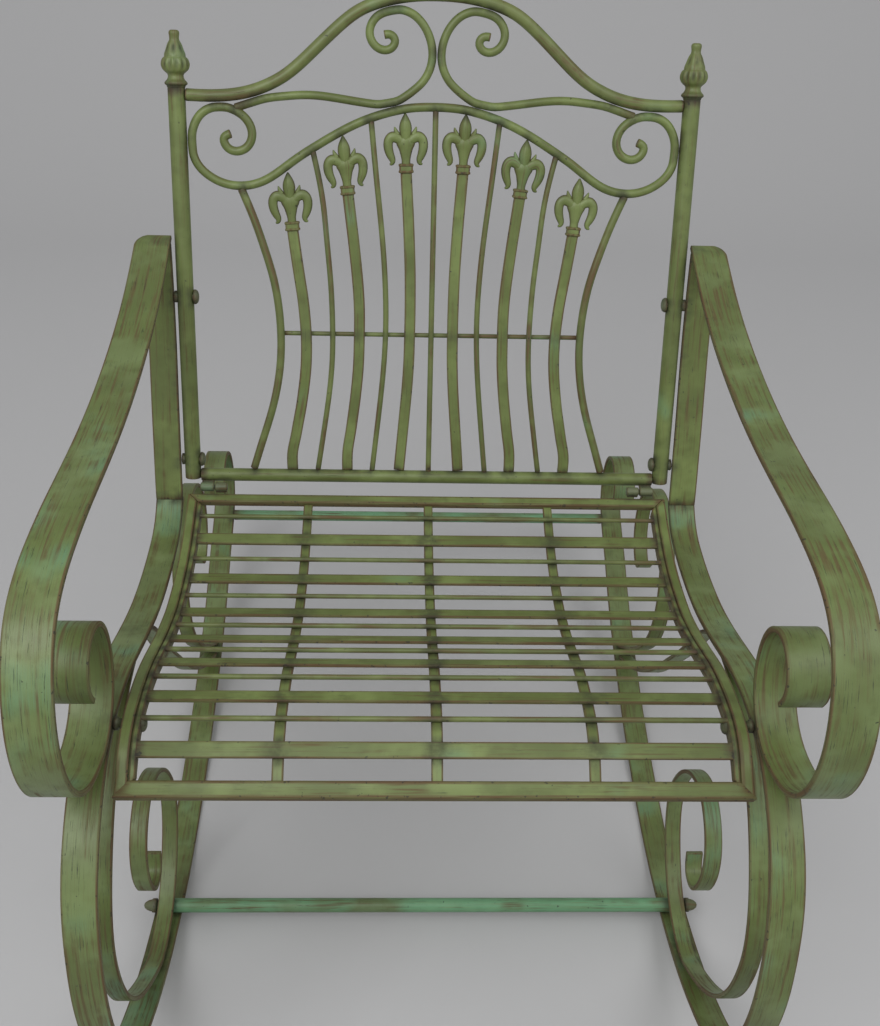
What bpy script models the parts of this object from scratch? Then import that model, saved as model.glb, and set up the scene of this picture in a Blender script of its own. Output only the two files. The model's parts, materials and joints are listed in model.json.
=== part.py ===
"""Painted steel garden rocking chair.

The chair is welded and bolted from bent flat bar, round rod and tube. Two side
frames of bent bar carry a slatted seat and a reclined back of two tubular posts
filled with scrolls, rods and flat bars that end in cast fleur-de-lis.

Axes: +X is the sitter's left when facing the chair from the front view, -Y is
the front, +Z is up. The origin is on the floor, under the middle of the chair's
bounding box. All lengths are in metres.

Side profiles are drawn in a plane of (y, z), with y measured back from the
front edge of the seat and z up from the floor. The back is drawn in its own
leaning plane of (x, h), with h measured up along the posts.
"""

import math

import bmesh
import bpy
import numpy as np
from mathutils import Vector

# Clearances between pieces that touch
GAP = 0.0003
BEND_GAP = 0.0005

# Flat bar and tube stock
BAR_WIDTH = 0.030
BAR_THICKNESS = 0.005
ARM_WIDTH = 0.0405
ARM_THICKNESS = 0.005
ARM_CORNER_CHAMFER = 0.014
SCROLL_BAR_WIDTH = 0.018
SCROLL_BAR_THICKNESS = 0.0045
POST_DIAMETER = 0.018
TOP_RAIL_DIAMETER = 0.0125
BOTTOM_RAIL_DIAMETER = 0.0145
TOP_SCROLL_DIAMETER = 0.0085
LOWER_ARCH_DIAMETER = 0.009
OUTER_ROD_DIAMETER = 0.0085
THIN_ROD_DIAMETER = 0.006
CROSS_ROD_DIAMETER = 0.005
BACK_BAR_WIDTH = 0.012
BACK_BAR_THICKNESS = 0.004
FRONT_STRETCHER_DIAMETER = 0.016
REAR_STRETCHER_DIAMETER = 0.015

# Seat
SEAT_WIDTH = 0.540
SEAT_RAIL_WIDTH = 0.015
SEAT_RAIL_DEPTH = 0.016
SEAT_SLAT_WIDTH = 0.016
SEAT_SLAT_THICKNESS = 0.003
SEAT_ROD_DIAMETER = 0.005
SEAT_SLAT_DROP = 0.001
SEAT_MEMBERS = 14
STRAP_WIDTH = 0.010
STRAP_THICKNESS = 0.003
STRAP_SPACING = 0.135

# Widths across the chair, from the middle out
SIDE_GAP = 0.008
POST_CLEARANCE = 0.003
SIDE_INNER = SEAT_WIDTH / 2 + SIDE_GAP
POST_X = SIDE_INNER - POST_CLEARANCE - POST_DIAMETER / 2
BAR_X = SIDE_INNER + BAR_WIDTH / 2
ARM_X = SIDE_INNER + ARM_WIDTH / 2

# Back plane
BACK_FOOT_Y = 0.475
BACK_FOOT_Z = 0.444
BACK_LEAN = math.radians(17.5)
POST_BOTTOM = -0.012
POST_TOP = 0.407
BOTTOM_RAIL_H = -0.008
CROSS_ROD_H = 0.154
FLEUR_HEIGHT = 0.058
FLEUR_THICKNESS = 0.006
FLEUR_TIP_WIDTH = 0.004
FLEUR_SOCKET = 0.004

# Rocker: two arcs that meet at the lowest point
ROCKER_LOW_Y = 0.336
ROCKER_FRONT_RADIUS = 0.740
ROCKER_REAR_RADIUS = 1.050

# Stretchers and fasteners
FRONT_STRETCHER_Y = 0.178
FRONT_STRETCHER_CAP = 0.013
REAR_STRETCHER_Y = 0.829
STRETCHER_INSET = 0.006
POST_BOLT_HEAD = 0.016
SEAT_BOLT_HEAD = 0.0125
BOLT_HEAD_HEIGHT = 0.0055
BOLT_SHANK_DIAMETER = 0.006
BOLT_HOLE_CLEARANCE = 0.0006
BUSH_DIAMETER = 0.015
POST_BOLT_HEIGHTS = (0.010, 0.193)
SEAT_BOLT_Y = 0.065
SEAT_BOLT_DROP = 0.0112
HINGE_X = 0.212
HINGE_WIDTH = 0.022
HINGE_THICKNESS = 0.003
HINGE_KNUCKLE_DIAMETER = 0.010

# How closely facets follow a curve
BAR_SAGITTA = 0.00012
TUBE_SAGITTA = 0.0002
SAMPLE_STEP = 0.001
LONGEST_FACET = 0.060
SHORTEST_FACET = 0.003

# Bends of the seat rail, along its top edge, front to rear
SEAT_TOP_KEYS = (
    (0.000, 0.4500), (0.012, 0.4585), (0.030, 0.4660), (0.055, 0.4722),
    (0.081, 0.4730), (0.110, 0.4687), (0.143, 0.4608), (0.191, 0.4437),
    (0.237, 0.4280), (0.283, 0.4155), (0.325, 0.4083), (0.358, 0.4057),
    (0.389, 0.4067), (0.419, 0.4104), (0.453, 0.4145),
)

# Arm bar: from the upright forward, over the front and into its scroll
ARM_KEYS = (
    (0.552, 0.6885), (0.503, 0.6742), (0.455, 0.6632), (0.405, 0.6560),
    (0.344, 0.6515), (0.280, 0.6508), (0.216, 0.6542), (0.150, 0.6612),
    (0.100, 0.6670), (0.050, 0.6702), (0.008, 0.6683), (-0.024, 0.6580),
    (-0.047, 0.6380), (-0.062, 0.6120), (-0.070, 0.5800), (-0.068, 0.5460),
    (-0.053, 0.5100), (-0.028, 0.4850), (0.008, 0.4690), (0.045, 0.4655),
    (0.073, 0.4770), (0.090, 0.5000), (0.094, 0.5270), (0.086, 0.5550),
    (0.065, 0.5735), (0.040, 0.5740), (0.0235, 0.5600), (0.0205, 0.5430),
    (0.0275, 0.5270),
)

# Upright bar, from the side bar to the arm
UPRIGHT_KEYS = (
    (0.4560, 0.400), (0.4610, 0.420), (0.4760, 0.465), (0.4910, 0.508),
    (0.5070, 0.550), (0.5210, 0.590), (0.5340, 0.635), (0.5440, 0.680),
    (0.5475, 0.705),
)

# Side bar: under the seat, down the front leg, up to the rocker's arc
LEG_KEYS = (
    (0.462, 0.4125), (0.433, 0.3945), (0.408, 0.3900), (0.382, 0.3895),
    (0.326, 0.3940), (0.287, 0.4010), (0.233, 0.4170), (0.185, 0.4345),
    (0.140, 0.4500), (0.100, 0.4580), (0.060, 0.4590), (0.020, 0.4500),
    (-0.015, 0.4310), (-0.045, 0.4050), (-0.066, 0.3720), (-0.079, 0.3300),
    (-0.086, 0.2850), (-0.085, 0.2400), (-0.076, 0.1950), (-0.060, 0.1540),
    (-0.037, 0.1200), (-0.006, 0.0930), (0.030, 0.0720), (0.070, 0.0530),
)
ROCKER_ARC_YS = (0.12, 0.18, 0.24, 0.29, 0.336, 0.40, 0.50, 0.60, 0.70, 0.78)
ROCKER_CURL_KEYS = (
    (0.815, 0.1105), (0.841, 0.1300), (0.855, 0.1640), (0.850, 0.2050),
    (0.828, 0.2370), (0.795, 0.2500), (0.759, 0.2380), (0.737, 0.2080),
    (0.740, 0.1850), (0.757, 0.1780),
)

# Front scroll bar: curl, loop on the rocker, bow in the leg, run under the
# side bar, then the long brace down to the rocker
FRONT_SCROLL_KEYS = (
    (0.166, 0.157), (0.155, 0.137), (0.136, 0.139), (0.118, 0.162),
    (0.111, 0.192), (0.118, 0.222), (0.140, 0.243), (0.168, 0.250),
    (0.198, 0.241), (0.228, 0.217), (0.252, 0.181), (0.2635, 0.143),
    (0.257, 0.106), (0.236, 0.075), (0.208, 0.051), (0.178, 0.0385),
    (0.150, 0.036), (0.122, 0.0385), (0.090, 0.0570), (0.048, 0.091),
    (0.010, 0.132), (-0.016, 0.178), (-0.028, 0.225), (-0.028, 0.270),
    (-0.016, 0.306), (0.006, 0.339), (0.036, 0.370), (0.075, 0.396),
    (0.125, 0.415), (0.185, 0.421), (0.232, 0.4115), (0.268, 0.3880),
    (0.295, 0.354), (0.323, 0.312), (0.352, 0.273), (0.385, 0.231),
    (0.425, 0.181), (0.475, 0.130), (0.535, 0.080), (0.592, 0.0415),
    (0.610, 0.030),
)

# Rear scroll bar: from the rocker up to its curl behind the seat
REAR_SCROLL_KEYS = (
    (0.625, 0.034), (0.603, 0.0530), (0.552, 0.097), (0.510, 0.138),
    (0.479, 0.178), (0.461, 0.220), (0.457, 0.265), (0.471, 0.309),
    (0.503, 0.340), (0.546, 0.350), (0.590, 0.336), (0.619, 0.303),
    (0.628, 0.262), (0.615, 0.228), (0.587, 0.215), (0.571, 0.232),
)

# Half of each curve in the back plane, +X side
TOP_RAIL_KEYS = (
    (0.222, 0.4003), (0.205, 0.4022), (0.189, 0.4058), (0.172, 0.4122),
    (0.155, 0.4215), (0.139, 0.4340), (0.119, 0.4525), (0.099, 0.4705),
    (0.080, 0.4845), (0.060, 0.4930), (0.040, 0.4980), (0.020, 0.5006),
    (0.000, 0.5013),
)
TOP_SCROLL_KEYS = (
    (0.188, 0.3960), (0.160, 0.4005), (0.130, 0.4027), (0.100, 0.4000),
    (0.075, 0.3965), (0.055, 0.3955), (0.040, 0.3987), (0.027, 0.4070),
    (0.016, 0.4160), (0.008, 0.4280), (0.0046, 0.4440), (0.008, 0.4615),
    (0.0165, 0.4755), (0.029, 0.4845), (0.043, 0.4865), (0.057, 0.4825),
    (0.066, 0.4740), (0.0687, 0.4635), (0.065, 0.4540), (0.056, 0.4482),
    (0.0465, 0.4500), (0.043, 0.4575), (0.0470, 0.4625), (0.054, 0.4625),
)
LOWER_ARCH_KEYS = (
    (0.000, 0.3935), (0.025, 0.3923), (0.050, 0.3870), (0.078, 0.3773),
    (0.099, 0.3670), (0.1205, 0.3545), (0.142, 0.3410), (0.163, 0.3258),
    (0.180, 0.3157), (0.200, 0.3108), (0.219, 0.3125), (0.236, 0.3205),
    (0.248, 0.3330), (0.2525, 0.3500), (0.2500, 0.3690), (0.240, 0.3835),
    (0.224, 0.3892), (0.206, 0.3855), (0.194, 0.3755), (0.190, 0.3620),
    (0.195, 0.3505), (0.207, 0.3455), (0.217, 0.3505), (0.219, 0.3585),
    (0.212, 0.3630),
)
OUTER_ROD_KEYS = (
    (0.2050, 0.3130), (0.1910, 0.279), (0.1832, 0.256), (0.1712, 0.215),
    (0.1650, 0.172), (0.1643, 0.138), (0.1675, 0.105), (0.1780, 0.060),
    (0.1930, 0.014), (0.2000, -0.010),
)
THIN_ROD_KEYS = (
    ((0.1285, 0.352), (0.1210, 0.318), (0.1172, 0.295), (0.1138, 0.260),
     (0.1100, 0.217), (0.1080, 0.174), (0.1083, 0.128), (0.1125, 0.083),
     (0.1195, 0.036), (0.1265, -0.010)),
    ((0.0680, 0.392), (0.0607, 0.319), (0.0574, 0.290), (0.0535, 0.250),
     (0.0505, 0.205), (0.0498, 0.165), (0.0513, 0.125), (0.0553, 0.080),
     (0.0598, 0.036), (0.0650, -0.010)),
)
BACK_BAR_KEYS = (
    ((0.1570, 0.336), (0.1555, 0.3205), (0.1505, 0.273), (0.1470, 0.245),
     (0.1415, 0.207), (0.1372, 0.168), (0.1365, 0.132), (0.1390, 0.100),
     (0.1453, 0.060), (0.1525, 0.025), (0.1590, -0.010)),
    ((0.1000, 0.376), (0.0980, 0.360), (0.0907, 0.303), (0.0872, 0.275),
     (0.0825, 0.235), (0.0790, 0.195), (0.0784, 0.155), (0.0803, 0.108),
     (0.0858, 0.060), (0.0925, 0.015), (0.0960, -0.010)),
    ((0.0342, 0.398), (0.0335, 0.3845), (0.0300, 0.330), (0.0279, 0.300),
     (0.0254, 0.258), (0.0237, 0.215), (0.0234, 0.165), (0.0246, 0.110),
     (0.0284, 0.060), (0.0323, 0.015), (0.0343, -0.010)),
)

# Right half of a fleur-de-lis, from the foot of its collar to its tip
FLEUR_HALF = (
    (0.0072, 0.0000), (0.0072, 0.0095), (0.0046, 0.0105), (0.0050, 0.0170),
    (0.0066, 0.0250), (0.0088, 0.0305), (0.0118, 0.0325), (0.0142, 0.0300),
    (0.0148, 0.0245), (0.0132, 0.0180), (0.0108, 0.0130), (0.0125, 0.0098),
    (0.0175, 0.0092), (0.0180, 0.0135), (0.0212, 0.0195), (0.0228, 0.0280),
    (0.0208, 0.0360), (0.0160, 0.0405), (0.0122, 0.0418), (0.0112, 0.0462),
    (0.0086, 0.0425), (0.0066, 0.0400), (0.0068, 0.0455), (0.0060, 0.0510),
    (0.0036, 0.0560), (0.0020, 0.0580),
)

# Finial: (radius, height above the post), from the tip down
FINIAL_PROFILE = (
    (0.0000, 0.0575), (0.0042, 0.0562), (0.0064, 0.0525), (0.0056, 0.0488),
    (0.0040, 0.0460), (0.0062, 0.0420), (0.0112, 0.0350), (0.0145, 0.0275),
    (0.0148, 0.0215), (0.0120, 0.0140), (0.0082, 0.0090), (0.0070, 0.0070),
    (0.0112, 0.0056), (0.0118, 0.0030), (0.0108, 0.0004), (0.0000, 0.0003),
)
FINIAL_STEPS = 16
BOLT_STEPS = 12
STRETCHER_STEPS = 12

# Paint and metal: (red, green, blue), roughness, metallic
OLIVE_PAINT = ((0.18, 0.24, 0.06), 0.55, 0.0)
MINT_PAINT = ((0.30, 0.42, 0.20), 0.50, 0.0)
WORN_PAINT = ((0.12, 0.13, 0.05), 0.60, 0.1)
RUSTY_STEEL = ((0.07, 0.05, 0.03), 0.75, 0.4)


def clear_scene():
    """Remove every object and collection from the open file."""
    for item in list(bpy.data.objects):
        bpy.data.objects.remove(item, do_unlink=True)
    for group in list(bpy.data.collections):
        bpy.data.collections.remove(group)


def paint(name, finish):
    """Make a Principled material from a (colour, roughness, metallic) finish."""
    colour, roughness, metallic = finish
    material = bpy.data.materials.new(name + "_finish")
    material.use_nodes = True
    shader = material.node_tree.nodes["Principled BSDF"]
    shader.inputs["Base Color"].default_value = (*colour, 1.0)
    shader.inputs["Roughness"].default_value = roughness
    shader.inputs["Metallic"].default_value = metallic
    return material


def through(keys):
    """Natural cubic spline through the key points, as dense samples."""
    keys = np.array(keys, float)
    runs = np.linalg.norm(np.diff(keys, axis=0), axis=1)
    knots = np.concatenate(([0.0], np.cumsum(runs)))
    count = len(keys)
    system = np.eye(count)
    right = np.zeros_like(keys)
    for i in range(1, count - 1):
        before, after = runs[i - 1], runs[i]
        system[i, i - 1:i + 2] = before, 2 * (before + after), after
        right[i] = 6 * ((keys[i + 1] - keys[i]) / after - (keys[i] - keys[i - 1]) / before)
    bend = np.linalg.solve(system, right)
    samples = np.linspace(0.0, knots[-1], max(2, round(knots[-1] / SAMPLE_STEP) + 1))
    span = np.clip(np.searchsorted(knots, samples, side="right") - 1, 0, count - 2)
    along = (samples - knots[span])[:, None]
    run = runs[span][:, None]
    slope = (keys[span + 1] - keys[span]) / run - run * (2 * bend[span] + bend[span + 1]) / 6
    return (keys[span] + along * slope + along ** 2 * bend[span] / 2
            + along ** 3 * (bend[span + 1] - bend[span]) / (6 * run))


def lengths(path):
    """Distance along the path at each of its points."""
    return np.concatenate(([0.0], np.cumsum(np.linalg.norm(np.diff(path, axis=0), axis=1))))


def tangents(path):
    """Unit tangent at each point of the path."""
    way = np.gradient(path, axis=0)
    return way / np.linalg.norm(way, axis=1)[:, None]


def normals(path):
    """Unit normal at each point, turned left from the way of travel."""
    way = tangents(path)
    return np.stack((-way[:, 1], way[:, 0]), axis=1)


def offset(path, distance):
    """The path moved sideways, left of the way of travel when positive."""
    return path + normals(path) * distance


def part_of(path, start, end):
    """The stretch of a path between two distances along it."""
    along = lengths(path)
    inside = (along > start) & (along < end)
    ends = [np.array([np.interp(at, along, path[:, axis]) for axis in range(2)])
            for at in (start, end)]
    return np.vstack((ends[0], path[inside], ends[1]))


def thin(path, sagitta):
    """Fewer points on the same curve, with chords within `sagitta` of it."""
    way = tangents(path)
    heading = np.unwrap(np.arctan2(way[:, 1], way[:, 0]))
    along = lengths(path)
    curvature = np.abs(np.gradient(heading, along))
    window = np.ones(7) / 7
    curvature = np.convolve(np.pad(curvature, 3, mode="edge"), window, mode="valid")
    facet = np.sqrt(8 * sagitta / np.maximum(curvature, 1e-6))
    facet = np.clip(facet, SHORTEST_FACET, LONGEST_FACET)
    pace = 1 / facet
    count = np.concatenate(([0.0], np.cumsum((pace[1:] + pace[:-1]) / 2 * np.diff(along))))
    picks = np.linspace(0.0, count[-1], max(2, math.ceil(count[-1]) + 1))
    at = np.interp(picks, count, along)
    return np.stack([np.interp(at, along, path[:, axis]) for axis in range(2)], axis=1)


def distances(points, path):
    """Distance from each point to the nearest sample of a path, and which."""
    apart = np.linalg.norm(points[:, None, :] - path[None, :, :], axis=2)
    nearest = apart.argmin(axis=1)
    return apart[np.arange(len(points)), nearest], nearest


def push_off(path, other, distance):
    """Bend a path away from another wherever it comes closer than `distance`."""
    apart, nearest = distances(path, other)
    close = apart < distance
    moved = path.copy()
    away = (path[close] - other[nearest[close]]) / apart[close][:, None]
    moved[close] = other[nearest[close]] + away * distance
    return moved


def stop_short(path, half_width, other, distance):
    """Trim the start of a path so that its square end stays off another one."""
    side = normals(path) * half_width
    close = np.zeros(len(path), bool)
    for edge in (path - side, path, path + side):
        close |= distances(edge, other)[0] < distance
    first = np.nonzero(close)[0].max(initial=-1) + 1
    return path[first:]


def trim(path, point, normal):
    """Keep the path from its start to where it crosses a line for the last time."""
    height = (path - point) @ normal
    last = np.nonzero(height > 0)[0][-1]
    if last == len(path) - 1:
        return path
    share = height[last] / (height[last] - height[last + 1])
    crossing = path[last] + share * (path[last + 1] - path[last])
    return np.vstack((path[:last + 1], crossing))


def face_beside(path, near, distance):
    """Point and normal of the face that lies `distance` left of a path."""
    index = distances(np.array([near]), path)[1][0]
    normal = normals(path)[index]
    if distance < 0:
        normal = -normal
    return path[index] + normal * abs(distance), normal


def outline(path, thickness, sagitta, start_face=None, end_face=None):
    """Closed outline of a bar bent along a path, with square or mitred ends."""
    centre = thin(path, sagitta)
    side = normals(centre) * thickness / 2
    way = tangents(centre)
    left = centre + side
    right = centre - side
    for face, end in ((start_face, 0), (end_face, -1)):
        if face is None:
            continue
        point, normal = face
        for edge in (left, right):
            run = (point - edge[end]) @ normal / (way[end] @ normal)
            edge[end] = edge[end] + way[end] * run
    return np.vstack((left, right[::-1]))


def add(item, collection, parent, finish):
    """Link an object, give it its finish and hang it on its parent."""
    collection.objects.link(item)
    item.parent = parent
    if finish is not None:
        item.data.materials.append(paint(item.name, finish))
    return item


def curve_object(name, points, cyclic, flat):
    """Curve object with one polyline through points of two coordinates."""
    curve = bpy.data.curves.new(name, "CURVE")
    curve.dimensions = "2D" if flat else "3D"
    spline = curve.splines.new("POLY")
    spline.points.add(len(points) - 1)
    for target, (u, v) in zip(spline.points, points):
        target.co = (u, v, 0.0, 1.0)
    spline.use_cyclic_u = cyclic
    spline.use_smooth = True
    return bpy.data.objects.new(name, curve)


def plate(name, points, width):
    """Flat outline extruded to a width, centred on its own plane."""
    item = curve_object(name, points, cyclic=True, flat=True)
    item.data.fill_mode = "BOTH"
    item.data.extrude = width / 2
    return item


def tube(name, points, diameter, resolution=2):
    """Round bar or tube along a polyline in the object's own plane."""
    item = curve_object(name, points, cyclic=False, flat=False)
    item.data.bevel_depth = diameter / 2
    item.data.bevel_resolution = resolution
    item.data.use_fill_caps = True
    return item


def turned(name, profile, steps):
    """Solid of revolution about local Z from a (radius, height) profile."""
    mesh = bpy.data.meshes.new(name)
    points = [(radius, 0.0, height) for radius, height in profile]
    mesh.from_pydata(points, [(i, i + 1) for i in range(len(points) - 1)], [])
    item = bpy.data.objects.new(name, mesh)
    screw = item.modifiers.new("turn", "SCREW")
    screw.axis = "Z"
    screw.steps = steps
    screw.render_steps = steps
    screw.use_merge_vertices = True
    screw.merge_threshold = 0.00001
    return item


def lay_in_side(item, x):
    """Place a piece drawn in (y, z) in the side plane at a distance across."""
    item.rotation_euler = (math.pi / 2, 0.0, math.pi / 2)
    item.location = (x, 0.0, 0.0)
    return item


def lay_in_back(item, depth=0.0):
    """Place a piece drawn in (x, h) in the leaning plane of the back.

    A positive depth lies in front of the plane.
    """
    item.rotation_euler = (math.pi / 2 - BACK_LEAN, 0.0, 0.0)
    item.location = (
        0.0,
        BACK_FOOT_Y - depth * math.cos(BACK_LEAN),
        BACK_FOOT_Z + depth * math.sin(BACK_LEAN),
    )
    return item


def back_point(x, h):
    """World place of a point of the back plane, before the chair is centred."""
    return Vector((x, BACK_FOOT_Y + h * math.sin(BACK_LEAN), BACK_FOOT_Z + h * math.cos(BACK_LEAN)))


def solid_mesh(item):
    """Replace a curve object by a mesh object of the same name and place."""
    bpy.context.scene.collection.objects.link(item)
    bpy.context.view_layer.update()
    evaluated = item.evaluated_get(bpy.context.evaluated_depsgraph_get())
    mesh = bpy.data.meshes.new_from_object(evaluated)
    welded = bmesh.new()
    welded.from_mesh(mesh)
    bmesh.ops.remove_doubles(welded, verts=welded.verts, dist=0.00001)
    welded.to_mesh(mesh)
    welded.free()
    name = item.name
    place = item.matrix_world.copy()
    curve = item.data
    bpy.data.objects.remove(item, do_unlink=True)
    if isinstance(curve, bpy.types.Curve):
        bpy.data.curves.remove(curve)
    result = bpy.data.objects.new(name, mesh)
    mesh.name = name
    result.matrix_world = place
    return result


def combine(item, tool, operation, chair):
    """Join a tool solid to a piece, or cut it out, with a Boolean modifier."""
    chair.cutters.objects.link(tool)
    tool.parent = chair.frame
    tool.hide_render = True
    tool.display_type = "WIRE"
    step = item.modifiers.new(tool.name, "BOOLEAN")
    step.operation = operation
    step.solver = "EXACT"
    step.object = tool


def round_cutter(name, start, end, diameter):
    """Cylinder between two points, for holes and joined bosses."""
    axis = end - start
    mesh = bpy.data.meshes.new(name)
    body = bmesh.new()
    bmesh.ops.create_cone(
        body, cap_ends=True, segments=12,
        radius1=diameter / 2, radius2=diameter / 2, depth=axis.length,
    )
    body.to_mesh(mesh)
    body.free()
    item = bpy.data.objects.new(name, mesh)
    item.location = (start + end) / 2
    item.rotation_euler = axis.to_track_quat("Z", "Y").to_euler()
    return item


class Chair:
    """Collections, parent empty and bar paths shared by all the pieces."""

    def __init__(self):
        """Bend every path once, in the order in which the bars seat on others."""
        self.seat_top = through(SEAT_TOP_KEYS)
        self.side = through(LEG_KEYS + self.rocker_arc() + ROCKER_CURL_KEYS)
        self.arm = self.bend_arm()
        self.front_tube = self.seat_front_tube()
        self.rear_tube = self.seat_rear_tube()
        self.front_scroll = self.bend_front_scroll()
        self.rear_scroll = self.bend_rear_scroll()
        self.post_line = self.straight((POST_X, POST_BOTTOM), (POST_X, POST_TOP))
        self.bottom_rail = self.straight((-POST_X, BOTTOM_RAIL_H), (POST_X, BOTTOM_RAIL_H))
        self.top_rail = self.bend_top_rail()
        self.lower_arch = self.bend_lower_arch()
        self.top_scroll = self.bend_top_scroll()
        self.pieces = bpy.data.collections.new("garden_rocking_chair")
        self.cutters = bpy.data.collections.new("cutters")
        for group in (self.pieces, self.cutters):
            bpy.context.scene.collection.children.link(group)
        self.frame = bpy.data.objects.new("chair_frame", None)
        self.pieces.objects.link(self.frame)
        self.frame.location = (0.0, -self.middle(), 0.0)

    @staticmethod
    def straight(start, end):
        """Straight path between two points, sampled as finely as the bends."""
        start, end = np.array(start), np.array(end)
        count = max(2, round(np.linalg.norm(end - start) / SAMPLE_STEP) + 1)
        return start + np.linspace(0.0, 1.0, count)[:, None] * (end - start)

    @staticmethod
    def rocker_arc():
        """Points on the rocker's two arcs, whose lowest face is on the floor."""
        points = []
        for y in ROCKER_ARC_YS:
            radius = ROCKER_FRONT_RADIUS if y < ROCKER_LOW_Y else ROCKER_REAR_RADIUS
            rise = radius - math.sqrt(radius ** 2 - (y - ROCKER_LOW_Y) ** 2)
            points.append((y, BAR_THICKNESS / 2 + rise))
        return tuple(points)

    def middle(self):
        """Middle of the chair from front to back, for the origin."""
        front = min(self.arm[:, 0].min() - ARM_THICKNESS / 2,
                    self.side[:, 0].min() - BAR_THICKNESS / 2)
        rear = self.side[:, 0].max() + BAR_THICKNESS / 2
        return (front + rear) / 2

    def bend_arm(self):
        """Arm path, whose scroll sits on the side bar."""
        return push_off(through(ARM_KEYS), self.side,
                        (ARM_THICKNESS + BAR_THICKNESS) / 2 + BEND_GAP)

    def seat_front_tube(self):
        """Centre of the front stretcher, on the upper face of the rocker."""
        above = BAR_THICKNESS / 2 + FRONT_STRETCHER_DIAMETER / 2 + GAP
        near = (FRONT_STRETCHER_Y, 0.0)
        return face_beside(self.side, near, above)[0]

    def seat_rear_tube(self):
        """Centre of the rear stretcher, on the upper face of the rocker."""
        above = BAR_THICKNESS / 2 + REAR_STRETCHER_DIAMETER / 2 + GAP
        near = (REAR_STRETCHER_Y, self.side[self.nearest_low(REAR_STRETCHER_Y), 1])
        return face_beside(self.side, near, above)[0]

    def nearest_low(self, y):
        """Index of the side bar's lowest sample close to a distance back."""
        close = np.abs(self.side[:, 0] - y) < 2 * SAMPLE_STEP
        heights = np.where(close, self.side[:, 1], np.inf)
        return int(heights.argmin())

    def bend_front_scroll(self):
        """Front scroll bar, clear of the side bar and on the front stretcher."""
        path = through(FRONT_SCROLL_KEYS)
        point, normal = self.rocker_face(0.592)
        path = trim(path, point, normal)
        tube_room = (FRONT_STRETCHER_DIAMETER + SCROLL_BAR_THICKNESS) / 2 + BEND_GAP
        bar_room = (BAR_THICKNESS + SCROLL_BAR_THICKNESS) / 2 + BEND_GAP
        landing = round(0.02 / SAMPLE_STEP)
        bent = push_off(path[:-landing], self.side, bar_room)
        bent = push_off(bent, np.array([self.front_tube]), tube_room)
        return np.vstack((bent, path[-landing:]))

    def bend_rear_scroll(self):
        """Rear scroll bar, from its curl down to the rocker."""
        path = through(REAR_SCROLL_KEYS)[::-1]
        point, normal = self.rocker_face(0.604)
        return trim(path, point, normal)

    def rocker_face(self, y):
        """Upper face of the rocker near a distance back, as point and normal."""
        near = self.side[self.nearest_low(y)]
        return face_beside(self.side, near, BAR_THICKNESS / 2 + GAP)

    def bend_top_rail(self):
        """Arched top rail, from post to post."""
        end = POST_X - POST_DIAMETER / 2 - GAP
        half = ((end, TOP_RAIL_KEYS[0][1]),) + TOP_RAIL_KEYS
        mirrored = tuple((-x, h) for x, h in half[-2::-1])
        return through(half + mirrored)

    def bend_lower_arch(self):
        """Lower arch with a spiral at each end, between the posts."""
        mirrored = tuple((-x, h) for x, h in LOWER_ARCH_KEYS[:0:-1])
        path = through(mirrored + LOWER_ARCH_KEYS)
        post_room = (POST_DIAMETER + LOWER_ARCH_DIAMETER) / 2 + BEND_GAP
        rail_room = (TOP_RAIL_DIAMETER + LOWER_ARCH_DIAMETER) / 2 + BEND_GAP
        path = push_off(path, self.post_line, post_room)
        path = push_off(path, self.post_line * (-1, 1), post_room)
        return push_off(path, self.top_rail, rail_room)

    def bend_top_scroll(self):
        """Right top scroll, between the lower arch and the top rail."""
        path = through(TOP_SCROLL_KEYS)
        arch_room = (LOWER_ARCH_DIAMETER + TOP_SCROLL_DIAMETER) / 2 + BEND_GAP
        rail_room = (TOP_RAIL_DIAMETER + TOP_SCROLL_DIAMETER) / 2 + BEND_GAP
        path = push_off(path, self.lower_arch, arch_room)
        path = push_off(path, self.top_rail, rail_room)
        path[:, 0] = np.maximum(path[:, 0], TOP_SCROLL_DIAMETER / 2 + GAP / 2)
        return path

    def place(self, item, finish):
        """Put a finished piece in the chair."""
        return add(item, self.pieces, self.frame, finish)


SIDES = (("left", -1), ("right", 1))


def add_side_frames(chair):
    """Arm, upright, side bar and the two scroll bars of each side."""
    seat_end, seat_normal = face_beside(
        chair.side, chair.side[0], -(BAR_THICKNESS / 2 + GAP))
    arm_point, arm_normal = face_beside(
        chair.arm, (0.545, 0.686), ARM_THICKNESS / 2 + GAP)
    upright = trim(through(UPRIGHT_KEYS), arm_point, arm_normal)
    upright = trim(upright[::-1], seat_end, seat_normal)
    front_foot = chair.rocker_face(0.592)
    rear_foot = chair.rocker_face(0.604)
    shapes = (
        ("side_bar", outline(chair.side, BAR_THICKNESS, BAR_SAGITTA), BAR_WIDTH, BAR_X, OLIVE_PAINT),
        ("upright", outline(upright, BAR_THICKNESS, BAR_SAGITTA, (arm_point, arm_normal),
                            (seat_end, seat_normal)), BAR_WIDTH, BAR_X, OLIVE_PAINT),
        ("front_scroll_bar", outline(chair.front_scroll, SCROLL_BAR_THICKNESS, BAR_SAGITTA,
                                     end_face=front_foot), SCROLL_BAR_WIDTH, BAR_X, OLIVE_PAINT),
        ("rear_scroll_bar", outline(chair.rear_scroll, SCROLL_BAR_THICKNESS, BAR_SAGITTA,
                                    end_face=rear_foot), SCROLL_BAR_WIDTH, BAR_X, OLIVE_PAINT),
    )
    for side, sign in SIDES:
        for name, points, width, x, finish in shapes:
            chair.place(lay_in_side(plate(f"{side}_{name}", points, width), sign * x), finish)
        add_arm(chair, side, sign)


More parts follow.
